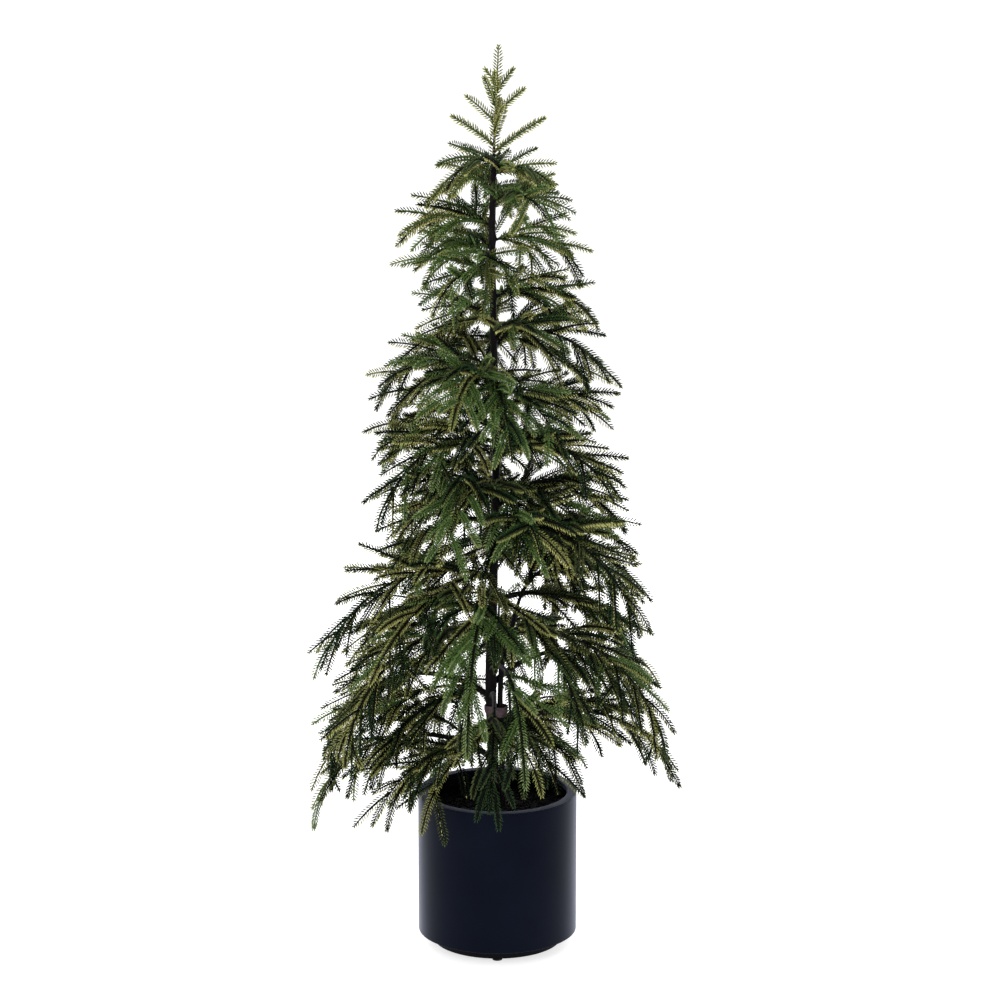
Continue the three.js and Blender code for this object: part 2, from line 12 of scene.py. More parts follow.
import bpy
import numpy as np
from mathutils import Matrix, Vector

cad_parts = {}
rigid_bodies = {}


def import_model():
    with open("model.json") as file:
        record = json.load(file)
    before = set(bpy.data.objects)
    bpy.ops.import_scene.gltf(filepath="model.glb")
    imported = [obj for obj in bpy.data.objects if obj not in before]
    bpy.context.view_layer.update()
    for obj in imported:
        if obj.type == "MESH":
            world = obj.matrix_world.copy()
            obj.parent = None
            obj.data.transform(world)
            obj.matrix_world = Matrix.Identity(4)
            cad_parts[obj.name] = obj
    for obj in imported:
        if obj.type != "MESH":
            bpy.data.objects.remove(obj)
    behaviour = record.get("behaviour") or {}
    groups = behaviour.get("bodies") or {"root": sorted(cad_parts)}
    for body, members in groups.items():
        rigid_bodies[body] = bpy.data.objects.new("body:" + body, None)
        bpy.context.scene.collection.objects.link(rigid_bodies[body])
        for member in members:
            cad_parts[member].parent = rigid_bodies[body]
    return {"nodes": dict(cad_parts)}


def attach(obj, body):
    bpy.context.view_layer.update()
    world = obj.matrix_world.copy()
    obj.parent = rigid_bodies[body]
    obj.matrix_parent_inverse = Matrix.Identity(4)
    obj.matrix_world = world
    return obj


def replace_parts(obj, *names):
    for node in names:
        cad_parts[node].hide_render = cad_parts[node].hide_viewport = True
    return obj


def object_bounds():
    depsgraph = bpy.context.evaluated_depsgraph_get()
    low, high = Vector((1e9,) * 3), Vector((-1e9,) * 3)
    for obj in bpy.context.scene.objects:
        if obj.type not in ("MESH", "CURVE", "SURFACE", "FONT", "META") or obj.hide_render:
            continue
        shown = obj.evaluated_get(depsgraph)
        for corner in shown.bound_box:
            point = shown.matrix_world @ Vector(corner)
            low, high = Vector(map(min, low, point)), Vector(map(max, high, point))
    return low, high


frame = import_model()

CAD_BOX = [list(corner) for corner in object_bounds()]

# ---------- sizes of the tree

TREE_HEIGHT = 1.524
TRUNK_TOP = 1.345
TRUNK_STATIONS = (  # height, x, y, radius
    (0.060, -0.006, 0.0, 0.0098),
    (0.300, -0.007, 0.0, 0.0098),
    (0.480, -0.011, 0.0, 0.0094),
    (0.620, -0.007, 0.002, 0.0076),
    (0.860, -0.002, 0.003, 0.0066),
    (1.070, -0.0065, -0.002, 0.0058),
    (1.240, -0.008, -0.001, 0.0052),
    (TRUNK_TOP, -0.006, 0.001, 0.0046),
)
SECOND_STEM_STATIONS = (
    (0.110, 0.010, -0.001, 0.0052),
    (0.300, 0.0086, -0.001, 0.0050),
    (0.440, 0.0050, -0.001, 0.0048),
    (0.490, 0.008, -0.002, 0.0047),
    (0.545, 0.022, -0.004, 0.0044),
    (0.592, 0.034, -0.005, 0.0042),
)
TAPE_BOTTOM = 0.398
TAPE_TOP = 0.418
TAPE_CENTRE = -0.002
TAPE_WIDTH = 0.035
TAPE_DEPTH = 0.025
TIERS = (  # height of the first root, branches, heading of the first
    (1.332, 3, -140),
    (1.278, 3, -60),
    (1.212, 3, 10),
    (1.140, 3, -125),
    (1.045, 4, -25),
    (0.945, 3, -88),
    (0.868, 3, -150),
    (0.790, 3, -104),
    (0.700, 3, -45),
    (0.612, 3, -98),
    (0.545, 3, -150),
    (0.482, 3, -76),
    (0.400, 4, -90),
)
LAST_TIER_DROP = 0.100
CROWN = (  # height of a root, reach of its branch
    (1.332, 0.113),
    (1.275, 0.147),
    (1.140, 0.183),
    (0.945, 0.219),
    (0.790, 0.262),
    (0.692, 0.280),
    (0.489, 0.306),
    (0.420, 0.312),
    (0.358, 0.295),
)
LEADER_NAME = "crown_tip"
SECOND_NAME = "spray_second_stem"

# ---------- sizes of the growth

SEED = 1872
MASS_STRIDE = 101
WORD = 0xFFFFFFFF
DRAW_STEP = 0x6D2B79F5
STEP = 0.012
CLEARANCE = 0.0003
GOLDEN_ANGLE = 137.5

ROOM_OVER_TAPE = 0.012
ROOM_UNDER_TAPE = 0.030
FRONT_GIVE = 5
HEADING_GIVE = 14
HEIGHT_GIVE = 0.008
REACH_GIVE = 0.13
RISE = 30
RISE_GIVE = 11
DROOP_AT_TOP = 76
DROOP_AT_FOOT = 104
DROOP_GAIN = 1.6
DROOP_GIVE = 12
BEND_GIVE = 14
BARE_SHARE = 0.14
BOUGH_TIERS = 2
BOUGH_BARE_SHARE = 0.32

TIP_LENGTH = 0.092
TIP_BARE = 0.050
SHOOT_GAP = 0.015
SHOOT_LENGTH = 0.083
SHOOT_LENGTH_GIVE = 0.012
SHOOT_LENGTH_SHARE = 0.32
SPREAD = 42
SPREAD_GIVE = 8
SHOOT_RISE = 2
SHOOT_RISE_GIVE = 12
SHOOT_DROOP = 20
SHOOT_DROOP_GIVE = 12
FORKED_LENGTH = 0.118
FORK_SHARE = 0.3
TWIG_GAP = 0.024
TWIG_LENGTH = 0.064
TWIG_LENGTH_GIVE = 0.010
TWIG_SPREAD = 38
MIDDLE_SHARE = 0.85
MIDDLE_TURN_GIVE = 16
MIDDLE_LIFT_GIVE = 8
LIFT_ABOVE = 32
DROP_BELOW = 34

LEADER_SEED = 5
LEADER_TIP_X = 0.002
LEADER_STEPS = 12
LEADER_SPRIGS = 10
LEADER_FIRST_SHARE = 0.04
LEADER_SPAN = 0.62
LEADER_LENGTH = 0.098
LEADER_SHORTER = 0.060
LEADER_LENGTH_GIVE = 0.008
LEADER_HEADING = 20
LEADER_HEADING_GIVE = 12
LEADER_RISE = 36
LEADER_STEEPER = 26
LEADER_RISE_GIVE = 6
LEADER_DROOP = 12

SECOND_HEADING = -5
SECOND_RISE = 76
SECOND_BRANCH = 0.225
SECOND_DROOP = 112
SECOND_BARE = 0.030

FINER_SEED = 7
FINER_GAPS = ((0.50, 0.80, 1.05, 1.25), (0.028, 0.020, 0.020, 0.030))  # heights of roots, gaps there
FINER_LIMBS = ((36, -24, 0.80), (-36, 6, 0.72))  # turn and lift from the branch, share of its length
FULL_LIMBS = ((64, -14, 0.62), (-64, -30, 0.58))
FOOT_LIMBS = ((58, -30, 0.60), (-58, -26, 0.56), (24, -36, 0.52), (-24, -30, 0.48))
FINER_KINDS = (  # height that a root is under, its finer limbs: none where the crown is open
    (0.44, FINER_LIMBS + FOOT_LIMBS),
    (0.60, ()),
    (0.66, FINER_LIMBS[:1]),
    (0.80, FINER_LIMBS + FULL_LIMBS),
    (TREE_HEIGHT, FINER_LIMBS),
)
FINER_FROM = 0.07
FINER_FROM_GIVE = 0.03
FINER_TURN_GIVE = 9
FINER_LIFT_GIVE = 7
FINER_LENGTH_GIVE = 0.07
FINER_DROOP = 0.70
FINER_DROOP_GIVE = 0.1
FINER_BARE_SHARE = 0.16

# ---------- sizes of the pot

POT_RADIUS = 0.135
POT_TOP = 0.267
POT_BOTTOM = 0.0217
POT_WALL = 0.003
POT_ROUNDING = 0.0013
POT_SIDES = 256
RIM_SET_IN = 0.0002
GROOVE_TOP = 0.0018
GROOVE_BOTTOM = 0.0026
GROOVE_DEPTH = 0.0007
LIP_WIDTH = 0.016
LIP_FOLD = 0.009
# a nearly black sheet of painted shade just inside the pot's wall, from below the fill's top up to the lip
SHADE_SHEET_GAP = 0.0004
SHADE_SHEET_THICKNESS = 0.0012
SHADE_SHEET_FOOT = 0.004
RING_RADIUS = 0.110
RING_WIDTH = 0.014
RING_ROUNDING = 0.0012
RING_GAP = 0.0003
RING_SEAM = 0.012
RING_SIDES = 224
PAD_RADIUS = 0.0085
PAD_HEIGHT = 0.0034
PAD_ROUNDING = 0.0008
PAD_SIDES = 40
PAD_CIRCLE = 0.102
PAD_COUNT = 4
POT_CREASE = 40

FILLER_TOP = 0.240
FILLER_BOTTOM = 0.025
FILLER_GAP = 0.0003
FILLER_RINGS = 46
FILLER_SIDES = 140
FILLER_SUNK = 0.0016
FILLER_EDGE = 0.995
FILLER_CREASE = 50
HUMP_SCALE = 55
HUMP_HEIGHT = 0.0022
CRUMB_SCALE = 190
CRUMB_HEIGHT = 0.0012
GRAIN_SEED = 71
GRAIN_COUNT = 700
GRAIN_MARGIN = 0.004
GRAIN_SINK = 0.001
GRAIN_SIZES = (0.0018, 0.0042)
GRAIN_UNEVEN = (0.75, 1.15)
GRAIN_FLAT = 0.7

# ---------- sizes of wood and tape

WOOD_STEP = 0.0016
TRUNK_SIDES = 44
TRUNK_CORE = 0.95
TRUNK_RELIEF = 0.0011
STEM_SIDES = 28
STEM_CORE = 0.92
STEM_RELIEF = 0.0008
FLAKE_SCALE = (420, 420, 62)
FLAKE_SHARE = 0.55
FINE_SCALE = (900, 900, 260)
FINE_SHARE = 0.25
SCAR_SCALE = (60, 60, 210)
SCAR_SHARE = 0.3
SCAR_FROM = 0.25
COLLAR_HEIGHT = 0.0022
COLLAR_HALF = 0.006
COLLAR_FOCUS = 3
COLLAR_OUT = 0.004
COLLAR_LIFT = 0.003
LIMB_SIDES = 10
LIMB_FINER = 4
LIMB_RELIEF = 0.0006

TAPE_TURNS = 4
TAPE_STEPS = 120
TAPE_LANES = 7
TAPE_STRIP = 0.0085
TAPE_SET_IN = 0.0012
TAPE_LAYER = 0.0006
TAPE_SWELL = 0.0105
TAPE_FLATNESS = 3
TAPE_CREASE = 45
DENT_X = 0.002
DENT_WIDTH = 0.0035
DENT_DEPTH = 0.0021
FOLD_SCALE = (160, 160, 420)
FOLD_HEIGHT = 0.00035
WRINKLE_SCALE = (500, 500, 900)
WRINKLE_HEIGHT = 0.0002

# ---------- sizes of twigs and needles

BOUGH_ROOT = 0.0055
AXIS_ROOT = 0.0042
AXIS_ROOT_LEAST = 0.0020
AXIS_ROOT_LENGTH = 0.32
AXIS_TIP = 0.0010
AXIS_TAPER = 1.3
AXIS_END_SIDES = 6
WOOD_SHARE = 0.42
FINER_ROOT = 0.0028
TWIG_ROOT = 0.0021
TWIG_TIP = 0.0011
TWIG_SIDES = 4

NEEDLE_LENGTH = 0.0122
NEEDLE_LENGTH_GIVE = (0.88, 1.1)
NEEDLE_BELLY = 0.00132
NEEDLE_MIDDLE = 0.52
NEEDLE_BACK = 0.5
NEEDLE_SIDE = 0.87
NEEDLE_SUNK = 0.5
NEEDLE_LEAN = 48
NEEDLE_LEAN_GIVE = 6
PAIR_PITCH = 0.0025
SPRIG_TURN = 0.35
NEEDLE_TURN = 0.14
TIP_TAPER = 0.016
TIP_SIZE = 0.55
TIP_LEAN = 0.42
TIP_FALL = 0.7
ROOT_TAPER = 0.010
ROOT_SIZE = 0.7
LEADER_WIDER = 1.25
SPRIG_BARE = 0.004
AXIS_BARE_SHARE = 0.05
BOUGH_NEEDLES_FROM = 0.34
NEEDLE_FACES = np.array([(0, 2, 1), (0, 3, 2), (0, 1, 3), (1, 2, 4), (2, 3, 4), (3, 1, 4)])
# the faces of a needle's half by its twig, which take the darker material of painted shade
ON_NEEDLE_ROOT = np.array([1, 1, 1, 0, 0, 0], np.int32)
PIECE_LIMIT = 190000

POT_ROOM = 0.008
TRUNK_ROOM = 0.013
BOX_ROOM = 0.003
POINTS_AT_ROOT = 3
TAPE_VIEW = (0.392, 0.465)
TAPE_VIEW_HALF = 0.018
TAPE_VIEW_RISE = 0.29
TAPE_VIEW_FROM = 0.01

# ---------- shades of needles and twigs

SHADE_SEED = 4127
NEEDLE_SHADES = {
    # inner: nearly black, the painted shade of the crown's inside by the trunk
    "inner": (0.005, 0.011, 0.004),
    "deep": (0.021, 0.048, 0.016),
    "mid": (0.067, 0.091, 0.031),
    "fresh": (0.126, 0.212, 0.058),
    "pale": (0.220, 0.305, 0.115),
    # olive: pale lower rows, partly the needles' own two tones and partly a painted glow of light through
    # them
    "olive": (0.575, 0.560, 0.195),
    "straw": (0.310, 0.320, 0.104),
}
# shares that darken the needle halves by the twig: painted shade where the needles shadow each other
ROOT_DARKER = 0.42
ROOT_DARKER_FRESH = 0.62
# twig tones, partly painted light and shade: dark is nearly black, the stems' own dark plus painted shade of
# the needle bases round them; green is for lit sprigs and the leader
TWIG_SHADES = {
    "dark": ((0.002, 0.002, 0.0015), (0.006, 0.007, 0.004)),
    "green": ((0.050, 0.095, 0.024), (0.085, 0.150, 0.040)),
}
# the darker shades grow rarer towards the top, so the upper crown is paler: painted backlight
SHADES_UPTO = (  # shade, upper end of its chance low down, how much less at the top
    ("deep", 0.38, 0.28),
    ("mid", 0.76, 0.22),
    ("fresh", 0.86, 0.13),
)
HIGH_FROM = 0.90
HIGH_SPAN = 0.35
# sprigs this far out or less take the painted shade of the crown's inside, less of it higher up where the
# crown is open
INNER_SHADE_SHARE = 0.36
INNER_SHADE_LESS = 0.6
OUT_GIVE = 0.1
FRONT_HEADING = 270
# painted front light: branches that head for the front get mostly fresh green outer sprigs and green lower
# rows above the lowest height, as if lit from the front
FRONT_LIT_HALF = 28
FRONT_LIT_UNDER = 40
FRONT_LIT_FROM = 0.62
FRONT_LIT_LOWEST = 0.46
FRONT_LIT_CHANCE = 0.75
# height above which mid and straw sprigs also get green twigs
GREEN_TWIG_ABOVE = 1.12
PALE_FROM = 0.72
# rows that face down are mostly paler: partly the needles' own two tones, partly a painted glow of light
# through them
UNDER_BELOW = -0.45
UNDER_OLIVE_CHANCE = 0.4
FRONT_LIT_UNDER_CHANCE = 0.7

# ---------- stage and camera

WORLD_STRENGTH = 0.9
FLOOR_REACH = 80
FLOOR_GREY = 0.55
FLOOR_GLOW = 0.7
LIGHTS = (  # name, place, where it points, width and height, power
    ("key", (-1.6, -3.0, 3.2), (0, 0, 0.8), (1.8, 1.8), 30),
    ("back_left", (-2.0, 3.0, 1.5), (0, 0, 0.6), (1.8, 2.6), 110),
    ("back_right", (2.0, 3.0, 1.5), (0, 0, 0.6), (1.8, 2.6), 110),
)
CAMERA_PLACE = (0.0045, -5.306, 1.943)
CAMERA_DOWN = 12.44
CAMERA_LENS = 117.14
CAMERA_SENSOR = 36
CAMERA_FAR = 400
WHITE = (1, 1, 1, 1)

# ---------- growth


def generator(seed):
    """Draws from 0 to 1: the same ones as in the part's source from the same seed."""
    state = seed & WORD

    def draw():
        nonlocal state
        state = (state + DRAW_STEP) & WORD
        t = ((state ^ (state >> 15)) * (state | 1)) & WORD
        t ^= (t + (((t ^ (t >> 7)) * (t | 61)) & WORD)) & WORD
        return (t ^ (t >> 14)) / (WORD + 1)

    return draw


def around(draw, middle, give):
    return middle + give * (2 * draw() - 1)


def look_up(table, key):
    """The values of a table's other columns where its first one reaches the key."""
    keys, *columns = zip(*sorted(table))
    return [float(np.interp(key, keys, column)) for column in columns]


def direction(heading, rise):
    turn, lift = math.radians(heading), math.radians(rise)
    return np.array([math.cos(lift) * math.cos(turn), math.cos(lift) * math.sin(turn), math.sin(lift)])


def grown_route(start, heading, rise, length, droop, bend):
    """A route that sets out on a heading and a rise, and droops and bends evenly along its length."""
    count = max(3, math.floor(length / STEP + 0.5))
    points = [np.array(start, float)]
    for i in range(count):
        share = (i + 0.5) / count
        points.append(points[-1] + direction(heading + bend * share, rise - droop * share) * length / count)
    return dict(points=np.array(points), heading=heading, rise=rise, length=length, droop=droop, bend=bend)


def route_point(route, share):
    points = route["points"]
    last = len(points) - 1
    index = min(last - 1, math.floor(share * last))
    return points[index] + (points[index + 1] - points[index]) * (share * last - index)


def trunk_centre(height):
    x, y, _ = look_up(TRUNK_STATIONS, height)
    return np.array([x, y, height])


def shoot_length(draw, level, left):
    """The length of a shoot, by how much of its parent is left beyond it. Those on shoots are twigs."""
    if level > 1:
        return around(draw, TWIG_LENGTH, TWIG_LENGTH_GIVE)
    return around(draw, SHOOT_LENGTH, SHOOT_LENGTH_GIVE) + SHOOT_LENGTH_SHARE * max(0, left - TIP_LENGTH)


def side_shoots(draw, parent, first, gap=SHOOT_GAP, spread=SPREAD, level=1):
    """Shoots that stand left, right, and by turns below and above their parent."""
    shoots, order, along = [], 0, first
    while along < parent["length"] - TIP_BARE:
        share = along / parent["length"]
        length = shoot_length(draw, level, parent["length"] - along)
        heading = parent["heading"] + parent["bend"] * share
        rise = parent["rise"] - parent["droop"] * share
        if order % 3 == 2:
            heading += around(draw, 0, MIDDLE_TURN_GIVE)
            rise += (LIFT_ABOVE if order % 6 == 5 else -DROP_BELOW) + around(draw, 0, MIDDLE_LIFT_GIVE)
            length *= MIDDLE_SHARE
        else:
            heading += (1 if order % 3 else -1) * around(draw, spread, SPREAD_GIVE)
            rise += around(draw, SHOOT_RISE, SHOOT_RISE_GIVE)
        droop = around(draw, SHOOT_DROOP, SHOOT_DROOP_GIVE)
        bend = around(draw, 0, BEND_GIVE)
        route = grown_route(route_point(parent, share), heading, rise, length, droop, bend)
        shoots.append(dict(route=route, parent=parent))
        if length > FORKED_LENGTH:
            shoots += side_shoots(draw, route, length * FORK_SHARE, TWIG_GAP, TWIG_SPREAD, level + 1)
        order += 1
        along += gap
    return shoots


def arc_length(reach, rise, droop):
    """The length of a drooping branch that reaches so far out from the trunk."""
    start, turn = math.radians(rise), math.radians(droop)
    return reach * turn / (math.sin(start) - math.sin(start - turn))


def clear_of_tape(height):
    """The height of a branch's root, moved under or over the tape where it would meet it."""
    low, high = TAPE_BOTTOM - ROOM_UNDER_TAPE, TAPE_TOP + ROOM_OVER_TAPE
    if not low <= height <= high:
        return height
    return low if height < TAPE_BOTTOM - ROOM_UNDER_TAPE / 3 else high


def branch_of(mass, tier, slot):
    """One branch of a tier, in its slot round the trunk and down towards the next tier."""
    draw = generator(SEED + MASS_STRIDE * mass)
    top, count, first_heading = TIERS[tier]
    below = TIERS[tier + 1][0] if tier + 1 < len(TIERS) else top - LAST_TIER_DROP
    give = FRONT_GIVE if slot == 0 else HEADING_GIVE
    heading = first_heading + 360 * slot / count + around(draw, 0, give)
    height = clear_of_tape(top - (top - below) * slot / count + around(draw, 0, HEIGHT_GIVE))
    reach = look_up(CROWN, height)[0] * around(draw, 1, REACH_GIVE)
    depth = (TIERS[0][0] - height) / (TIERS[0][0] - TIERS[-1][0])
    rise = around(draw, RISE, RISE_GIVE)
    gain = min(1, depth * DROOP_GAIN)
    droop = around(draw, DROOP_AT_TOP + (DROOP_AT_FOOT - DROOP_AT_TOP) * gain, DROOP_GIVE)
    bend = around(draw, 0, BEND_GIVE)
    length = arc_length(reach, rise, droop)
    axis = grown_route(trunk_centre(height), heading, rise, length, droop, bend)
    on_bough = len(TIERS) - tier <= BOUGH_TIERS
    bare = BOUGH_BARE_SHARE if on_bough else BARE_SHARE
    shoots = side_shoots(draw, axis, length * bare)
    return dict(name=f"spray_{tier + 1}_{slot + 1}", mass=mass, axis=axis, on_bough=on_bough, shoots=shoots)


def second_branch(mass):
    """The branch that carries the second stem on."""
    draw = generator(SEED + MASS_STRIDE * mass)
    height, x, y, _ = SECOND_STEM_STATIONS[-1]
    start = np.array([x, y, height]) + direction(SECOND_HEADING, SECOND_RISE) * 2 * CLEARANCE
    axis = grown_route(start, SECOND_HEADING, SECOND_RISE, SECOND_BRANCH, SECOND_DROOP, 0)
    shoots = side_shoots(draw, axis, SECOND_BARE)
    return dict(name=SECOND_NAME, mass=mass, axis=axis, on_bough=False, shoots=shoots)


def leader():
    """The upright tip of the tree, with a spiral of sprigs."""
    draw = generator(SEED + LEADER_SEED)
    foot = trunk_centre(TRUNK_TOP)
    foot[2] = TRUNK_TOP + CLEARANCE
    tip = np.array([LEADER_TIP_X, 0, TREE_HEIGHT])
    points = np.array([foot + (tip - foot) * i / LEADER_STEPS for i in range(LEADER_STEPS + 1)])
    axis = dict(points=points, length=float(np.linalg.norm(tip - foot)))
    shoots = []
    for order in range(LEADER_SPRIGS):
        share = order / (LEADER_SPRIGS - 1)
        length = around(draw, LEADER_LENGTH - LEADER_SHORTER * share, LEADER_LENGTH_GIVE)
        heading = LEADER_HEADING + GOLDEN_ANGLE * order + around(draw, 0, LEADER_HEADING_GIVE)
        rise = around(draw, LEADER_RISE + LEADER_STEEPER * share, LEADER_RISE_GIVE)
        start = route_point(axis, LEADER_FIRST_SHARE + LEADER_SPAN * share)
        shoots.append(dict(route=grown_route(start, heading, rise, length, LEADER_DROOP, 0)))
    return dict(name=LEADER_NAME, axis=axis, on_bough=False, shoots=shoots)


def finer_limbs(branch):
    """Finer limbs that spring from a branch near its foot and fill the room around it, with their shoots."""
    if branch["name"] == LEADER_NAME:
        return []
    draw = generator(SEED + MASS_STRIDE * branch["mass"] + FINER_SEED)
    axis = branch["axis"]
    height = axis["points"][0][2]
    gap = float(np.interp(height, *FINER_GAPS))
    shoots = []
    for aside, lift, part in next(kinds for below, kinds in FINER_KINDS if height < below):
        share = around(draw, FINER_FROM, FINER_FROM_GIVE)
        heading = axis["heading"] + around(draw, aside, FINER_TURN_GIVE)
        rise = axis["rise"] + around(draw, lift, FINER_LIFT_GIVE)
        length = axis["length"] * around(draw, part, FINER_LENGTH_GIVE)
        droop = axis["droop"] * around(draw, FINER_DROOP, FINER_DROOP_GIVE)
        bend = around(draw, 0, BEND_GIVE)
        route = grown_route(route_point(axis, share), heading, rise, length, droop, bend)
        shoots.append(dict(route=route, root=FINER_ROOT))
        shoots += side_shoots(draw, route, length * FINER_BARE_SHARE, gap)
    return shoots


def all_branches():
    slots = [(tier, slot) for tier, (_, count, _) in enumerate(TIERS) for slot in range(count)]
    branches = [branch_of(mass, tier, slot) for mass, (tier, slot) in enumerate(slots)]
    return [*branches, second_branch(len(branches)), leader()]


# ---------- noise, curves and meshes


def lattice(cells, seed):
    """A random value from 0 to 1 for each whole-numbered cell."""
    mixed = np.sin(cells @ np.array([127.1, 311.7, 74.7]) + seed * 13.37) * 43758.5453
    return mixed - np.floor(mixed)


def noise(points, seed):
    """Smooth value noise from -1 to 1 at points of any scale."""
    base = np.floor(points)
    part = points - base
    part = part * part * (3 - 2 * part)
    total = np.zeros(len(points))
    for corner in range(8):
        offset = np.array([corner & 1, corner >> 1 & 1, corner >> 2 & 1])
        weight = np.prod(np.where(offset, part, 1 - part), axis=1)
        total += weight * lattice(base + offset, seed)
    return 2 * total - 1


def unit(vectors):
    return vectors / np.maximum(np.linalg.norm(vectors, axis=-1, keepdims=True), 1e-12)


def bell(values, width):
    """1 where a value is zero, falling to nothing over a few widths."""
    return np.exp(-(values / width) ** 2)


def smooth_route(stations):
    """Points and radii along a curve through rows of height, x, y and radius."""
    rows = np.array(stations)
    heights = np.arange(rows[0, 0], rows[-1, 0] + WOOD_STEP / 2, WOOD_STEP)
    slopes = np.gradient(rows[:, 1:], rows[:, 0], axis=0)
    index = np.clip(np.searchsorted(rows[:, 0], heights, side="right") - 1, 0, len(rows) - 2)
    span = (rows[index + 1, 0] - rows[index, 0])[:, None]
    t = (heights[:, None] - rows[index, 0][:, None]) / span
    values = (
        (2 * t**3 - 3 * t**2 + 1) * rows[index, 1:]
        + (t**3 - 2 * t**2 + t) * span * slopes[index]
        + (3 * t**2 - 2 * t**3) * rows[index + 1, 1:]
        + (t**3 - t**2) * span * slopes[index + 1]
    )
    return np.column_stack([values[:, 0], values[:, 1], heights]), values[:, 2]


def route_frames(points):
    """Tangents of a route, and two directions across it that don't twist."""
    tangents = unit(np.gradient(points, axis=0))
    start = np.cross([0, 0, 1], tangents[0])
    reference = unit(start) if np.linalg.norm(start) > 0.2 else np.array([1.0, 0, 0])
    across = unit(reference - (tangents @ reference)[:, None] * tangents)
    return tangents, across, np.cross(across, tangents)


def along_route(points, along):
    """Places at distances along a route, and its tangents and directions across there."""
    steps = np.linalg.norm(np.diff(points, axis=0), axis=1)
    reach = np.concatenate([[0], np.cumsum(steps)])

    def at(values):
        return np.column_stack([np.interp(along, reach, column) for column in values.T])

    tangents, across, over = route_frames(points)
    return at(points), unit(at(tangents)), unit(at(across)), unit(at(over))


def squares(a, b, step):
    """Two triangles between each pair of neighbours, a and b, and the pair one step on."""
    return np.vstack([np.column_stack([a, a + step, b]), np.column_stack([b, a + step, b + step])])


def tube(points, radii, sides, relief=None):
    """A limb with pointed ends along a route. `relief` moves the surface out by its place."""
    _, across, over = route_frames(points)
    angles = np.arange(sides) * 2 * np.pi / sides
    out = np.cos(angles)[None, :, None] * across[:, None] + np.sin(angles)[None, :, None] * over[:, None]
    rings = points[:, None] + out * np.asarray(radii)[:, None, None]
    if relief is not None:
        rings = rings + out * relief(rings.reshape(-1, 3)).reshape(len(points), sides, 1)
    vertices = np.vstack([rings.reshape(-1, 3), points[:1], points[-1:]])
    rim = np.arange(sides)
    turn = (rim + 1) % sides
    last = (len(points) - 1) * sides
    rows = np.arange(0, last, sides)[:, None]
    walls = squares((rows + rim).ravel(), (rows + turn).ravel(), sides)
    low = np.column_stack([np.full(sides, last + sides), rim, turn])
    high = np.column_stack([np.full(sides, last + sides + 1), last + turn, last + rim])
    return vertices, np.vstack([walls, low, high])


def turned(outline, sides):
    """A shape turned about the Z axis. The outline is closed, or starts and ends on the axis."""
    angles = np.arange(sides) * 2 * np.pi / sides
    parts, triangles, index = [], [], []
    count = 0
    for radius, height in outline:
        ring = 1 if radius == 0 else sides
        turn = angles[:ring]
        parts.append(np.column_stack([radius * np.cos(turn), radius * np.sin(turn), np.full(ring, height)]))
        index.append(count + (np.arange(sides) if ring > 1 else np.zeros(sides, int)))
        count += ring
    for low, high in zip(index, index[1:]):
        after_low, after_high = np.roll(low, -1), np.roll(high, -1)
        if low[0] != low[1]:
            triangles.append(np.column_stack([low, after_low, high]))
        if high[0] != high[1]:
            triangles.append(np.column_stack([after_low, after_high, high]))
    return np.vstack(parts), np.vstack(triangles)


def rounded(outline, radius, steps=5):
    """An outline whose corners, all but its ends, are arcs of about that radius."""
    points = [np.array(point, float) for point in outline]
    result = [tuple(points[0])]
    most = 0.49  # of an edge, so that its two arcs stay apart
    for before, corner, after in zip(points, points[1:], points[2:]):
        back, ahead = before - corner, after - corner
        reach = min(radius, most * np.linalg.norm(back), most * np.linalg.norm(ahead))
        first, last = corner + unit(back) * reach, corner + unit(ahead) * reach
        for i in range(steps + 1):
            t = i / steps
            result.append(tuple((1 - t) ** 2 * first + 2 * t * (1 - t) * corner + t * t * last))
    result.append(tuple(points[-1]))
    return result


def joined(parts):
    """One set of vertices and triangles from several."""
    vertices, triangles = zip(*parts)
    starts = np.cumsum([0, *map(len, vertices)])
    return np.vstack(vertices), np.vstack([corners + start for corners, start in zip(triangles, starts)])


def placed(name, data):
    """A new object in the scene."""
    thing = bpy.data.objects.new(name, data)
    bpy.context.scene.collection.objects.link(thing)
    return thing


def mesh_piece(name, vertices, triangles, material, slot, crease=None, second=None, on_second=None):
    """A piece from arrays. `on_second` is 1 for each triangle that takes the second material."""
    mesh = bpy.data.meshes.new(name)
    mesh.vertices.add(len(vertices))
    mesh.vertices.foreach_set("co", np.ascontiguousarray(vertices, np.float32).ravel())
    mesh.loops.add(3 * len(triangles))
    mesh.loops.foreach_set("vertex_index", np.ascontiguousarray(triangles, np.int32).ravel())
    mesh.polygons.add(len(triangles))
    mesh.polygons.foreach_set("loop_start", np.arange(0, 3 * len(triangles), 3, dtype=np.int32))
    mesh.polygons.foreach_set("use_smooth", np.full(len(triangles), True))
    if second is not None:
        mesh.polygons.foreach_set("material_index", on_second)
    mesh.update(calc_edges=True)
    mesh.validate()
    if crease is not None:
        mesh.set_sharp_from_angle(angle=math.radians(crease))
    mesh.materials.append(material)
    if second is not None:
        mesh.materials.append(second)
    piece = placed(name, mesh)
    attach(piece, "root")
    return piece


# ---------- materials


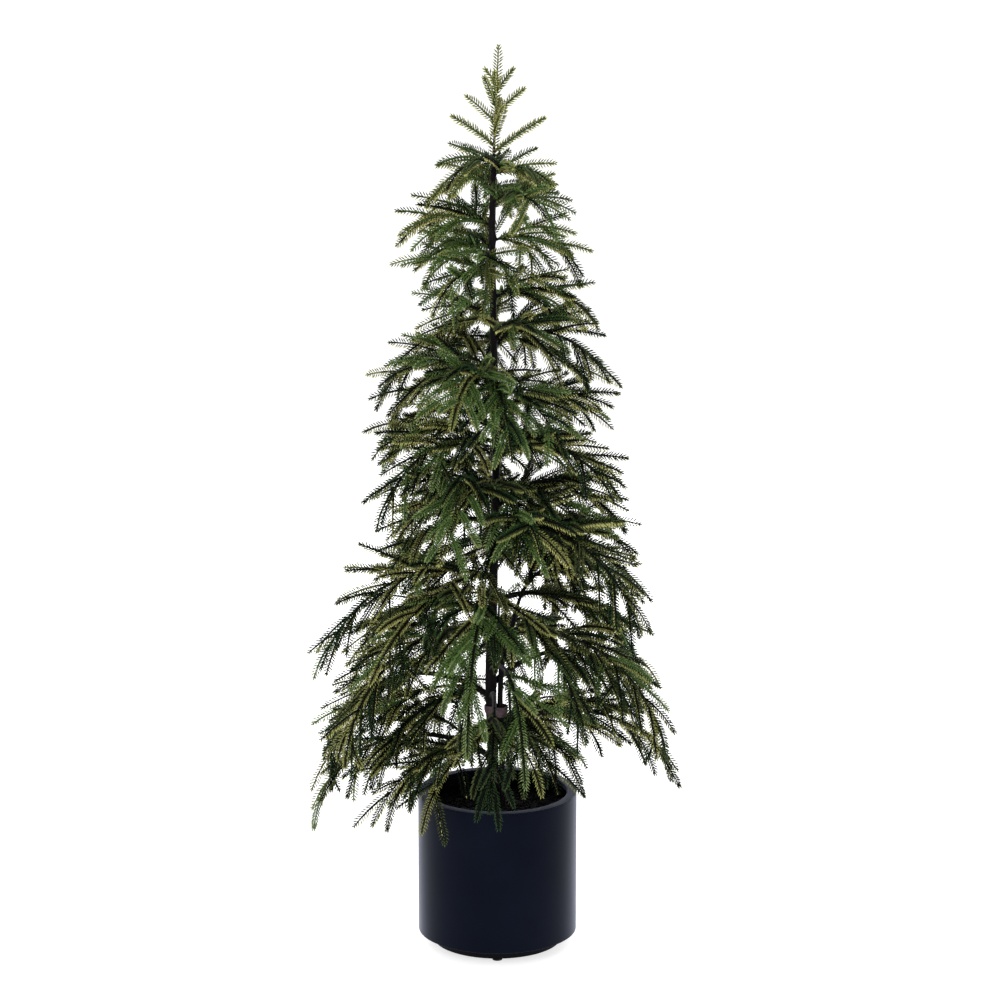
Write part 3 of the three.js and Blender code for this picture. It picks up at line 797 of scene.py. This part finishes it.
class Paint:
    """A node material with a Principled shader and short calls for its procedural detail."""

    def __init__(self, name, colour, roughness, specular=0.5, ior=1.45):
        self.material = bpy.data.materials.new(name)
        self.material.use_nodes = True
        self.material.diffuse_color = (*colour, 1)
        self.tree = self.material.node_tree
        self.shader = self.tree.nodes["Principled BSDF"]
        self.place = self.tree.nodes.new("ShaderNodeTexCoord").outputs["Object"]
        self.bumps = None
        self.fill(self.shader, {"Base Color": (*colour, 1), "Roughness": roughness})
        self.fill(self.shader, {"Specular IOR Level": specular, "IOR": ior})

    def fill(self, node, values):
        """Gives a node's inputs their values, or links them to the outputs given in place of values."""
        for name, value in values.items():
            if isinstance(value, bpy.types.NodeSocket):
                self.tree.links.new(value, node.inputs[name])
            else:
                node.inputs[name].default_value = value

    def add(self, kind, values):
        node = self.tree.nodes.new(kind)
        self.fill(node, values)
        return node

    def noise(self, scale, detail=4, stretch=(1, 1, 1)):
        place = self.add("ShaderNodeMapping", {"Scale": stretch, "Vector": self.place}).outputs["Vector"]
        values = {"Scale": scale, "Detail": detail, "Roughness": 0.55, "Vector": place}
        return self.add("ShaderNodeTexNoise", values).outputs["Fac"]

    def colour(self, value, *stops):
        ramp = self.add("ShaderNodeValToRGB", {"Fac": value})
        elements = ramp.color_ramp.elements
        for i, (position, colour) in enumerate(stops):
            element = elements[i] if i < 2 else elements.new(position)
            element.position = position
            element.color = (*colour, 1)
        self.fill(self.shader, {"Base Color": ramp.outputs["Color"]})

    def roughness(self, value, low, high):
        values = {"From Min": 0.3, "From Max": 0.7, "To Min": low, "To Max": high, "Value": value}
        self.fill(self.shader, {"Roughness": self.add("ShaderNodeMapRange", values).outputs["Result"]})

    def bump(self, value, strength, distance):
        """Adds relief over any that is there already."""
        values = {"Strength": strength, "Distance": distance, "Height": value}
        if self.bumps is not None:
            values["Normal"] = self.bumps
        self.bumps = self.add("ShaderNodeBump", values).outputs["Normal"]
        self.fill(self.shader, {"Normal": self.bumps})


def pot_paint():
    """Dark navy satin powder coat."""
    paint = Paint("pot_paint", (0.0022, 0.0038, 0.0100), roughness=0.38, ior=1.10)
    sheen = {"Sheen Weight": 0.34, "Sheen Roughness": 0.35, "Sheen Tint": (0.70, 0.76, 1.0, 1)}
    paint.fill(paint.shader, sheen)
    clouds = paint.noise(9, detail=3)
    paint.colour(clouds, (0.3, (0.0017, 0.0030, 0.0084)), (0.7, (0.0028, 0.0046, 0.0116)))
    paint.roughness(clouds, low=0.34, high=0.42)
    paint.bump(paint.noise(1400, detail=2), strength=0.12, distance=0.0001)
    return paint.material


def shaded_paint():
    """Painted shade: the pot's coat without its sheen, darkened to nearly black, inside the pot and on its
    foot.
    """
    paint = Paint("shaded_paint", (0.0008, 0.0010, 0.0024), roughness=0.6, specular=0.12)
    paint.colour(paint.noise(30), (0.3, (0.0006, 0.0008, 0.0020)), (0.7, (0.0010, 0.0013, 0.0030)))
    paint.bump(paint.noise(1400, detail=2), strength=0.12, distance=0.0001)
    return paint.material


def pad_rubber():
    """Black rubber with a fine grain."""
    paint = Paint("pad_rubber", (0.006, 0.006, 0.007), roughness=0.8, specular=0.3)
    paint.colour(paint.noise(300), (0.3, (0.004, 0.004, 0.005)), (0.7, (0.010, 0.010, 0.011)))
    paint.bump(paint.noise(900), strength=0.3, distance=0.0003)
    return paint.material


def filler_dark():
    """Nearly black grains with a few browner ones."""
    paint = Paint("filler_dark", (0.003, 0.003, 0.003), roughness=0.9, specular=0.08)
    tones = paint.noise(90, detail=6)
    black, dark, brown = (0.0014, 0.0014, 0.0016), (0.0035, 0.003, 0.003), (0.009, 0.007, 0.0065)
    paint.colour(tones, (0.3, black), (0.55, dark), (0.75, brown))
    paint.bump(paint.noise(500, detail=6), strength=0.6, distance=0.0008)
    return paint.material


def bark():
    """Dark purple-brown moulded bark with pale ridges and dark cracks."""
    paint = Paint("bark", (0.010, 0.007, 0.0085), roughness=0.7, specular=0.15)
    flakes = paint.noise(60, detail=7, stretch=(3, 3, 0.7))
    crack, face, ridge = (0.0016, 0.0012, 0.0016), (0.005, 0.0035, 0.0044), (0.019, 0.013, 0.015)
    paint.colour(flakes, (0.32, crack), (0.5, face), (0.72, ridge))
    paint.roughness(flakes, low=0.6, high=0.82)
    paint.bump(flakes, strength=0.7, distance=0.0008)
    paint.bump(paint.noise(420, stretch=(1, 1, 0.4)), strength=0.4, distance=0.0004)
    return paint.material


def tape_film():
    """Mauve-brown wrapping tape, a little crinkled."""
    paint = Paint("tape_film", (0.085, 0.050, 0.062), roughness=0.5, specular=0.4)
    tones = paint.noise(130, detail=5, stretch=(1, 1, 2.5))
    paint.colour(tones, (0.3, (0.050, 0.028, 0.036)), (0.7, (0.120, 0.074, 0.088)))
    paint.bump(paint.noise(260, detail=5, stretch=(0.6, 0.6, 2)), strength=0.5, distance=0.0005)
    return paint.material


def twig_skin(name, dark, light):
    paint = Paint(name, dark, roughness=0.7, specular=0.1)
    paint.colour(paint.noise(70, detail=3), (0.3, dark), (0.7, light))
    return paint.material


def needle_material(name, colour):
    """One shade of moulded needles: its colour is plain, because it is dealt out by spray."""
    return Paint(name, colour, roughness=0.6, specular=0.07).material


# ---------- pot


def build_pot():
    """The pot's shell with its folded lip, a nearly black sheet of painted shade inside it, the ring under
    it, also in painted shade, and the pads.
    """
    outer, lip = POT_RADIUS, POT_RADIUS - LIP_WIDTH
    inner = outer - POT_WALL
    walls = [
        (0, POT_BOTTOM),
        (outer, POT_BOTTOM),
        (outer, POT_TOP - GROOVE_BOTTOM),
        (outer - GROOVE_DEPTH, POT_TOP - GROOVE_BOTTOM),
        (outer - GROOVE_DEPTH, POT_TOP - GROOVE_TOP),
        (outer - RIM_SET_IN, POT_TOP - GROOVE_TOP),
        (outer - RIM_SET_IN, POT_TOP),
        (lip, POT_TOP),
        (lip, POT_TOP - LIP_FOLD),
        (lip + POT_WALL, POT_TOP - LIP_FOLD),
        (lip + POT_WALL, POT_TOP - POT_WALL),
        (inner, POT_TOP - POT_WALL),
        (inner, POT_BOTTOM + POT_WALL),
        (0, POT_BOTTOM + POT_WALL),
    ]
    shell = turned(rounded(walls, POT_ROUNDING), POT_SIDES)
    pot = mesh_piece("pot_shell", *shell, pot_paint(), "pot_paint", crease=POT_CREASE)
    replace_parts(pot, "pot")
    # painted shade: a thin nearly black sheet just inside the wall, where the inside of the pot is in shade
    face = inner - SHADE_SHEET_GAP
    thin, low, high = face - SHADE_SHEET_THICKNESS, FILLER_TOP - SHADE_SHEET_FOOT, POT_TOP - LIP_FOLD
    coat = [(thin, low), (face, low), (face, high), (thin, high), (thin, low)]
    shaded, shade_sheet = shaded_paint(), turned(coat, RING_SIDES)
    inside = mesh_piece("pot_painted_shade_sheet", *shade_sheet, shaded, "pot_paint", crease=POT_CREASE)
    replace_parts(inside, "pot")
    hollow, foot = RING_RADIUS - RING_WIDTH, PAD_HEIGHT + RING_GAP
    band = [(hollow, RING_SEAM), (hollow, foot), (RING_RADIUS, foot)]
    band += [(RING_RADIUS, POT_BOTTOM), (hollow, POT_BOTTOM), (hollow, RING_SEAM)]
    under = turned(rounded(band, RING_ROUNDING), RING_SIDES)
    # the ring under the pot takes the nearly black paint of painted shade
    ring = mesh_piece("recessed_ring", *under, shaded, "pot_paint", crease=POT_CREASE)
    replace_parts(ring, "base_ring")
    build_pads()


def build_pads():
    """The flat pads, one of them at the front."""
    rubber = pad_rubber()
    foot = [(0, 0), (PAD_RADIUS, 0), (PAD_RADIUS, PAD_HEIGHT), (0, PAD_HEIGHT)]
    for i in range(PAD_COUNT):
        turn = math.radians(-90 + 360 / PAD_COUNT * i)
        vertices, triangles = turned(rounded(foot, PAD_ROUNDING), PAD_SIDES)
        vertices = vertices + [PAD_CIRCLE * math.cos(turn), PAD_CIRCLE * math.sin(turn), 0]
        pad = mesh_piece(f"foot_pad_{i + 1}", vertices, triangles, rubber, "pad_rubber", crease=POT_CREASE)
        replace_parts(pad, f"pad_{i + 1}")


def icosahedron():
    """Corners and faces of a solid of 20 equal faces, of radius 1."""
    golden = (1 + 5**0.5) / 2
    corners = [np.roll((a, b * golden, 0), turn) for turn in range(3) for b in (1, -1) for a in (-1, 1)]
    faces = np.array([
        (0, 11, 5), (0, 5, 1), (0, 1, 7), (0, 7, 10), (0, 10, 11), (1, 5, 9), (5, 11, 4),
        (11, 10, 2), (10, 7, 6), (7, 1, 8), (3, 9, 4), (3, 4, 2), (3, 2, 6), (3, 6, 8),
        (3, 8, 9), (4, 9, 5), (2, 4, 11), (6, 2, 10), (8, 6, 7), (9, 8, 1),
    ])
    return unit(np.array(corners)), faces


def spun(points, angle):
    """Points turned about the Z axis."""
    cos, sin = math.cos(angle), math.sin(angle)
    return points @ np.array([[cos, sin, 0], [-sin, cos, 0], [0, 0, 1]])


def build_filler():
    """A dark granular fill: an uneven bed with grains half sunk in it."""
    draw = np.random.default_rng(GRAIN_SEED)
    radius = POT_RADIUS - POT_WALL - FILLER_GAP
    outline = [(radius * i / FILLER_RINGS, FILLER_TOP) for i in range(FILLER_RINGS + 1)]
    bed, corners = turned([*outline, (radius, FILLER_BOTTOM), (0, FILLER_BOTTOM)], FILLER_SIDES)
    upper = (bed[:, 2] > FILLER_TOP - 1e-6) & (np.hypot(bed[:, 0], bed[:, 1]) < radius * FILLER_EDGE)
    humps = HUMP_HEIGHT * noise(bed[upper] * HUMP_SCALE, 3)
    crumbs = CRUMB_HEIGHT * noise(bed[upper] * CRUMB_SCALE, 4)
    bed[upper, 2] += humps + crumbs - FILLER_SUNK
    grain, faces = icosahedron()
    parts = [(bed, corners[:, ::-1])]
    for _ in range(GRAIN_COUNT):
        turn, out = draw.uniform(0, 2 * np.pi), (radius - GRAIN_MARGIN) * draw.uniform(0, 1) ** 0.5
        size = draw.uniform(*GRAIN_SIZES)
        uneven = grain * draw.uniform(*GRAIN_UNEVEN, (len(grain), 1))
        stone = uneven * size * [1, draw.uniform(GRAIN_FLAT, 1), GRAIN_FLAT]
        centre = [out * math.cos(turn), out * math.sin(turn), FILLER_TOP - GRAIN_SINK]
        parts.append((spun(stone, draw.uniform(0, 2 * np.pi)) + centre, faces))
    filler = mesh_piece("fill_grains", *joined(parts), filler_dark(), "filler", crease=FILLER_CREASE)
    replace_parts(filler, "pot_filler")


# ---------- wood and tape


def bark_relief(height, collars=()):
    """How far the bark stands out: long flakes, ring scars, and a collar at each branch."""

    def relief(points):
        flakes = noise(points * FLAKE_SCALE, 11)
        fine = noise(points * FINE_SCALE, 12)
        scars = noise(points * SCAR_SCALE, 13)
        rings = np.clip(scars - SCAR_FROM, 0, 1)
        out = height * (FLAKE_SHARE * np.abs(flakes) + FINE_SHARE * fine + SCAR_SHARE * rings)
        for collar, way in collars:
            toward = points - collar
            facing = np.clip(unit(toward * [1, 1, 0]) @ way, 0, 1) ** COLLAR_FOCUS
            out = out + COLLAR_HEIGHT * bell(toward[:, 2], COLLAR_HALF) * facing
        return out

    return relief


def branch_collars(branches):
    """Where the branches leave the trunk, each with the way that it heads."""
    collars = []
    for branch in branches:
        axis = branch["axis"]
        if branch["name"] not in (LEADER_NAME, SECOND_NAME):
            x, y, root = axis["points"][0]
            height = root + direction(axis["heading"], axis["rise"])[2] * COLLAR_OUT + COLLAR_LIFT
            collars.append((np.array([x, y, height]), direction(axis["heading"], 0)))
    return collars


def build_trunk(branches, material):
    """The trunk and the second stem, with the bark's relief on a core a little under full size."""
    points, radii = smooth_route(TRUNK_STATIONS)
    relief = bark_relief(TRUNK_RELIEF, branch_collars(branches))
    pole = tube(points, radii * TRUNK_CORE, TRUNK_SIDES, relief)
    trunk = mesh_piece("trunk_bark", *pole, material, "bark")
    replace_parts(trunk, "trunk")
    points, radii = smooth_route(SECOND_STEM_STATIONS)
    relief = bark_relief(STEM_RELIEF)
    second = tube(points, radii * STEM_CORE, STEM_SIDES, relief)
    stem = mesh_piece("second_stem_bark", *second, material, "bark")
    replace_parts(stem, "second_stem")


def tape_rows():
    """A strip wound up round both stems, as a row of points from edge to edge for each step."""
    turns = np.linspace(0, TAPE_TURNS, TAPE_TURNS * TAPE_STEPS + 1)
    angle = turns * 2 * np.pi - np.pi / 2
    half, straight = TAPE_DEPTH / 2 - TAPE_SET_IN, (TAPE_WIDTH - TAPE_DEPTH) / 2
    x = half * np.cos(angle) + straight * np.tanh(TAPE_FLATNESS * np.cos(angle))
    y = half * np.sin(angle)
    y = y - DENT_DEPTH * bell(x - DENT_X, DENT_WIDTH) * np.sign(y)
    climb = (TAPE_TOP - TAPE_BOTTOM - TAPE_STRIP) * turns / TAPE_TURNS
    lanes = []
    for share in np.arange(TAPE_LANES) / (TAPE_LANES - 1):
        swell = 1 + TAPE_LAYER * turns / half + TAPE_SWELL * np.sin(np.pi * share) ** 0.5
        height = TAPE_BOTTOM + climb + TAPE_STRIP * share
        lanes.append(np.column_stack([x * swell + TAPE_CENTRE, y * swell, height]))
    return np.stack(lanes, axis=1)


def build_tape():
    """Tape wound round both stems in overlapping turns, drawn in a little between them."""
    rows = tape_rows()
    flat = rows.reshape(-1, 3)
    folds = FOLD_HEIGHT * noise(flat * FOLD_SCALE, 21)
    wrinkles = WRINKLE_HEIGHT * noise(flat * WRINKLE_SCALE, 22)
    away = unit((flat - [TAPE_CENTRE, 0, 0]) * [1, 1, 0])
    outer = flat + away * (folds + wrinkles + TAPE_LAYER)[:, None]
    inner = flat - away * TAPE_LAYER
    index = np.arange(len(flat)).reshape(rows.shape[:2])
    front = squares(index[:-1, :-1].ravel(), index[:-1, 1:].ravel(), TAPE_LANES)
    back = front[:, ::-1] + len(flat)
    border = np.concatenate([index[:, 0], index[-1, 1:], index[-2::-1, -1], index[0, -2:0:-1]])
    edge = squares(border, np.roll(border, -1), len(flat))
    sheet = np.vstack([outer, inner]), np.vstack([front, back, edge])
    tape = mesh_piece("tape_wrap", *sheet, tape_film(), "tape", crease=TAPE_CREASE)
    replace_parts(tape, "tape")


# ---------- shoots that show


def clear_of_pot(points):
    over_pot = np.hypot(points[:, 0], points[:, 1]) < POT_RADIUS + POT_ROOM
    return not np.any(over_pot & (points[:, 2] < POT_TOP + POT_ROOM))


def clear_of_trunk(points):
    beyond = [point for point in points[POINTS_AT_ROOT:] if point[2] < TRUNK_TOP]
    return all(np.linalg.norm(point - trunk_centre(point[2])) > TRUNK_ROOM for point in beyond)


def within_reach(points):
    """Whether a shoot stays inside the solids' box, with room for its needles."""
    low, high = np.array(CAD_BOX)[:, :2]
    return bool(np.all(points[:, :2] > low + BOX_ROOM) and np.all(points[:, :2] < high - BOX_ROOM))


def over_tape(points):
    """Which points hang before the tape, where the crown is open at the front."""
    ahead = -points[:, 1]
    over = points[:, 2] - TAPE_VIEW_RISE * ahead
    beside = np.abs(points[:, 0] - TAPE_CENTRE) < TAPE_VIEW_HALF
    return (ahead > TAPE_VIEW_FROM) & beside & (over > TAPE_VIEW[0]) & (over < TAPE_VIEW[1])


def falls_over_tape(points):
    """Whether a shoot hangs down before the tape from higher up."""
    return bool(np.any(over_tape(points))) and points[0][2] + TAPE_VIEW_RISE * points[0][1] > TAPE_TOP


def shown_shoots(branch):
    """The shoots of a branch and its finer limbs, but for those in the way and what grows on them."""
    shown, left_out = [], set()
    for shoot in branch["shoots"] + finer_limbs(branch):
        points = shoot["route"]["points"]
        free = clear_of_pot(points) and clear_of_trunk(points) and within_reach(points)
        if free and not falls_over_tape(points) and id(shoot.get("parent")) not in left_out:
            shown.append(shoot)
        else:
            left_out.add(id(shoot["route"]))
    return shown


# ---------- sprays


def faces_front(branch, half):
    """Whether a branch heads for the front, to within so many degrees."""
    return branch["name"] != LEADER_NAME and abs(branch["axis"]["heading"] % 360 - FRONT_HEADING) < half


def sprig_shade(branch, points, draw):
    """The shade of a sprig: nearly black by the trunk as painted shade, fresh at the front's outer tips as
    painted front light, paler higher up as painted backlight.
    """
    if branch["name"] == LEADER_NAME:
        return "straw"
    middle = points[len(points) // 2]
    out = np.hypot(middle[0], middle[1]) / look_up(CROWN, middle[2])[0] + draw.uniform(-OUT_GIVE, OUT_GIVE)
    # painted backlight: the higher the sprig, the paler its shades
    high = float(np.clip((middle[2] - HIGH_FROM) / HIGH_SPAN, 0, 1))
    chance = draw.random()
    # painted shade: sprigs near the trunk take the nearly black inner shade
    if out < INNER_SHADE_SHARE * (1 - INNER_SHADE_LESS * high):
        return "inner"
    # painted front light: the outer sprigs that head for the front are mostly fresh green
    if faces_front(branch, FRONT_LIT_HALF) and out > FRONT_LIT_FROM and middle[2] > FRONT_LIT_LOWEST:
        return "fresh" if chance < FRONT_LIT_CHANCE else "deep"
    for shade, upto, less in SHADES_UPTO:
        if chance < upto - less * high:
            return shade
    return "straw"


def needles_on(points, start, radii, belly, draw):
    """Corners of needles in crossed pairs along a route, how far each faces up, and how far along it is."""
    length = np.sum(np.linalg.norm(np.diff(points, axis=0), axis=1))
    pairs = max(2, int((length - start) / PAIR_PITCH))
    along = np.repeat(start + (length - start) * (np.arange(pairs) + 0.5) / pairs, 2)
    count = len(along)
    place, tangent, across, over = along_route(points, along)
    turn = np.tile([0, np.pi], pairs) + np.repeat(np.arange(pairs) % 2, 2) * np.pi / 2
    turn += draw.uniform(-SPRIG_TURN, SPRIG_TURN) + draw.uniform(-NEEDLE_TURN, NEEDLE_TURN, count)
    side = np.cos(turn)[:, None] * across + np.sin(turn)[:, None] * over
    end = np.clip((length - along) / TIP_TAPER, 0, 1)
    root = np.clip((along - start) / ROOT_TAPER, 0, 1)
    size = NEEDLE_LENGTH * (TIP_SIZE + (1 - TIP_SIZE) * end**TIP_FALL)
    size = size * (ROOT_SIZE + (1 - ROOT_SIZE) * root) * draw.uniform(*NEEDLE_LENGTH_GIVE, count)
    lean = NEEDLE_LEAN * (TIP_LEAN + (1 - TIP_LEAN) * end)
    lean = np.radians(lean + draw.uniform(-NEEDLE_LEAN_GIVE, NEEDLE_LEAN_GIVE, count))
    way = np.cos(lean)[:, None] * tangent + np.sin(lean)[:, None] * side
    flat = np.cross(tangent, side)
    keel = np.cross(way, flat)
    radius = np.interp(along / length, np.linspace(0, 1, len(radii)), radii)
    bark_place = place + side * (NEEDLE_SUNK * radius)[:, None]
    middle = bark_place + way * (size * NEEDLE_MIDDLE)[:, None]
    front, back = middle + keel * belly, middle - keel * (belly * NEEDLE_BACK)
    aside = flat * (belly * NEEDLE_SIDE)
    tip = bark_place + way * size[:, None]
    return np.stack([place, front, back - aside, back + aside, tip], axis=1), side[:, 2], along / length


class Foliage:
    """The limbs, twigs and needles of the crown, gathered from branch to branch."""

    def __init__(self):
        self.draw = np.random.default_rng(SHADE_SEED)
        self.limbs = []
        self.twigs = {tone: [] for tone in TWIG_SHADES}
        self.needles = {shade: [] for shade in NEEDLE_SHADES}

    def grow(self, branch):
        """Adds a branch with its needles, and then each shoot on it that shows."""
        axis, points = branch["axis"], branch["axis"]["points"]
        shade = sprig_shade(branch, points, self.draw)
        is_leader, on_bough = branch["name"] == LEADER_NAME, branch["on_bough"]
        thick = BOUGH_ROOT if on_bough else AXIS_ROOT * axis["length"] / AXIS_ROOT_LENGTH
        thick = min(max(thick, AXIS_ROOT_LEAST), BOUGH_ROOT)
        radii = AXIS_TIP + (thick - AXIS_TIP) * (1 - np.linspace(0, 1, len(points))) ** AXIS_TAPER
        cut = max(2, int(round(WOOD_SHARE * len(points))))
        self.limbs.append(smooth_limb(points[: cut + 1], radii[: cut + 1]))
        self.twigs["green" if is_leader else "dark"].append(tube(points[cut:], radii[cut:], AXIS_END_SIDES))
        bare = 0 if is_leader else axis["length"] * (BOUGH_NEEDLES_FROM if on_bough else AXIS_BARE_SHARE)
        self.add_needles(branch, points, bare, shade, radii)
        for shoot in shown_shoots(branch):
            self.add_shoot(branch, shoot["route"]["points"], shoot.get("root", TWIG_ROOT))

    def add_shoot(self, branch, points, root):
        radii = root + (TWIG_TIP - root) * np.linspace(0, 1, len(points))
        shade = sprig_shade(branch, points, self.draw)
        # painted light and shade: twigs of fresh sprigs, and of mid and straw sprigs high up, are green, the
        # rest nearly black
        green_twig = shade == "fresh" or (shade in ("mid", "straw") and points[0][2] > GREEN_TWIG_ABOVE)
        self.twigs["green" if green_twig else "dark"].append(tube(points, radii, TWIG_SIDES))
        self.add_needles(branch, points, SPRIG_BARE, shade, radii)

    def add_needles(self, branch, points, start, shade, radii):
        """Deals a route's needles to the shades: its upper rows to its own, its lower ones mostly paler,
        partly their own two tones and partly a painted glow of light through them.
        """
        belly = NEEDLE_BELLY * (LEADER_WIDER if branch["name"] == LEADER_NAME else 1)
        corners, up, share = needles_on(points, start, radii, belly, self.draw)
        shown = ~over_tape(corners[:, 0])
        corners, up, share = corners[shown], up[shown], share[shown]
        low = up < UNDER_BELOW
        end = ~low & (share > PALE_FROM) & (shade == "fresh")
        # the pale lower rows are partly the needles' own two tones and partly a painted glow of light
        # through them
        under = "olive" if shade in ("mid", "straw") or self.draw.random() < UNDER_OLIVE_CHANCE else "straw"
        # painted front light: lower rows of branches that head for the front are green, darker green low
        # down, in place of the pale glow
        if faces_front(branch, FRONT_LIT_UNDER):
            too_low = points[-1][2] < FRONT_LIT_LOWEST
            under = "mid" if too_low else "fresh" if self.draw.random() < FRONT_LIT_UNDER_CHANCE else "straw"
        elif shade == "fresh":
            under = "straw"
        self.needles[shade].append(corners[~low & ~end])
        self.needles["pale"].append(corners[end])
        self.needles[under].append(corners[low])


def smooth_limb(points, radii):
    """The woody part of a branch, with finer steps and its bark's relief."""
    index = np.arange(len(points))
    places = np.linspace(0, index[-1], index[-1] * LIMB_FINER + 1)
    fine = np.column_stack([np.interp(places, index, column) for column in points.T])
    return tube(fine, np.interp(places, index, radii), LIMB_SIDES, bark_relief(LIMB_RELIEF))


def build_sprays(branches, wood):
    """The limbs on the boughs' nodes, and every twig and needle on the sprays' nodes."""
    crown = Foliage()
    for branch in branches:
        crown.grow(branch)
    sprays = [name for name in frame["nodes"] if name.startswith("spray_") or name == LEADER_NAME]
    boughs = [name for name in frame["nodes"] if name.startswith("bough_")]
    limb_piece = mesh_piece("limbs_bark", *joined(crown.limbs), wood, "bark")
    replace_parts(limb_piece, *boughs)
    for tone, parts in crown.twigs.items():
        skin = twig_skin(f"twig_{tone}", *TWIG_SHADES[tone])
        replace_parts(mesh_piece(f"twigs_{tone}", *joined(parts), skin, "foliage"), *sprays)
    for shade, sets in crown.needles.items():
        build_needles(shade, np.concatenate(sets), sprays)


def build_needles(shade, corners, sprays):
    """Pieces with all the needles of one shade. The half of a needle by its twig is darker: painted shade,
    where the needles crowd and shadow each other near the twig.
    """
    colour = NEEDLE_SHADES[shade]
    material = needle_material(f"needles_{shade}", colour)
    darker = ROOT_DARKER_FRESH if shade in ("fresh", "pale") else ROOT_DARKER
    root = needle_material(f"needle_root_shade_{shade}", tuple(darker * c for c in colour))
    pieces = math.ceil(len(corners) * len(NEEDLE_FACES) / PIECE_LIMIT)
    for i, chunk in enumerate(np.array_split(corners, pieces)):
        first = np.arange(len(chunk))[:, None, None] * chunk.shape[1]
        triangles = (first + NEEDLE_FACES).reshape(-1, 3)
        halves = np.tile(ON_NEEDLE_ROOT, len(chunk))
        piece = mesh_piece(f"needles_{shade}_{i + 1}", chunk.reshape(-1, 3), triangles, material, "foliage",
                           second=root, on_second=halves)
        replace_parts(piece, *sprays)


# ---------- stage and camera


def aim(thing, target):
    """Points a light's -Z axis at a target."""
    way = np.array(target) - np.array(thing.location)
    rise, heading = math.atan2(way[2], math.hypot(way[0], way[1])), math.atan2(way[1], way[0])
    thing.rotation_euler = (math.pi / 2 + rise, 0, heading - math.pi / 2)


def soft_light(name, place, target, size, power):
    """A rectangular light that the camera doesn't see."""
    light = bpy.data.lights.new(name, "AREA")
    light.shape = "RECTANGLE"
    light.size, light.size_y = size
    light.energy = power
    lamp = placed(name, light)
    lamp.location = place
    lamp.visible_camera = False
    aim(lamp, target)


def build_floor():
    """A wide white floor that glows a little, so that it meets the white world without an edge."""
    paint = Paint("floor_white", (FLOOR_GREY,) * 3, roughness=0.9, specular=0.0)
    paint.fill(paint.shader, {"Emission Color": WHITE, "Emission Strength": FLOOR_GLOW})
    far = FLOOR_REACH
    mesh = bpy.data.meshes.new("floor")
    mesh.from_pydata([(-far, -far, 0), (far, -far, 0), (far, far, 0), (-far, far, 0)], [], [(0, 1, 2, 3)])
    mesh.materials.append(paint.material)
    placed("floor", mesh)


def build_stage():
    """White world, white floor and three soft lights, with colours shown as they are."""
    scene = bpy.context.scene
    scene.view_settings.view_transform = "Standard"
    scene.view_settings.look = "None"
    scene.world = bpy.data.worlds.new("studio")
    scene.world.use_nodes = True
    background = scene.world.node_tree.nodes["Background"]
    background.inputs["Color"].default_value = WHITE
    background.inputs["Strength"].default_value = WORLD_STRENGTH
    build_floor()
    for light in LIGHTS:
        soft_light(*light)


def build_camera():
    """The camera of the photograph, in front of the tree and looking a little down."""
    camera = bpy.data.cameras.new("camera")
    camera.sensor_width = CAMERA_SENSOR
    camera.lens = CAMERA_LENS
    camera.clip_end = CAMERA_FAR
    stand = placed("camera", camera)
    stand.location = CAMERA_PLACE
    stand.rotation_euler = (math.radians(90 - CAMERA_DOWN), 0, 0)
    bpy.context.scene.camera = stand


def build_all():
    build_camera()
    build_stage()
    branches = all_branches()
    wood = bark()
    build_pot()
    build_filler()
    build_trunk(branches, wood)
    build_tape()
    build_sprays(branches, wood)


build_all()
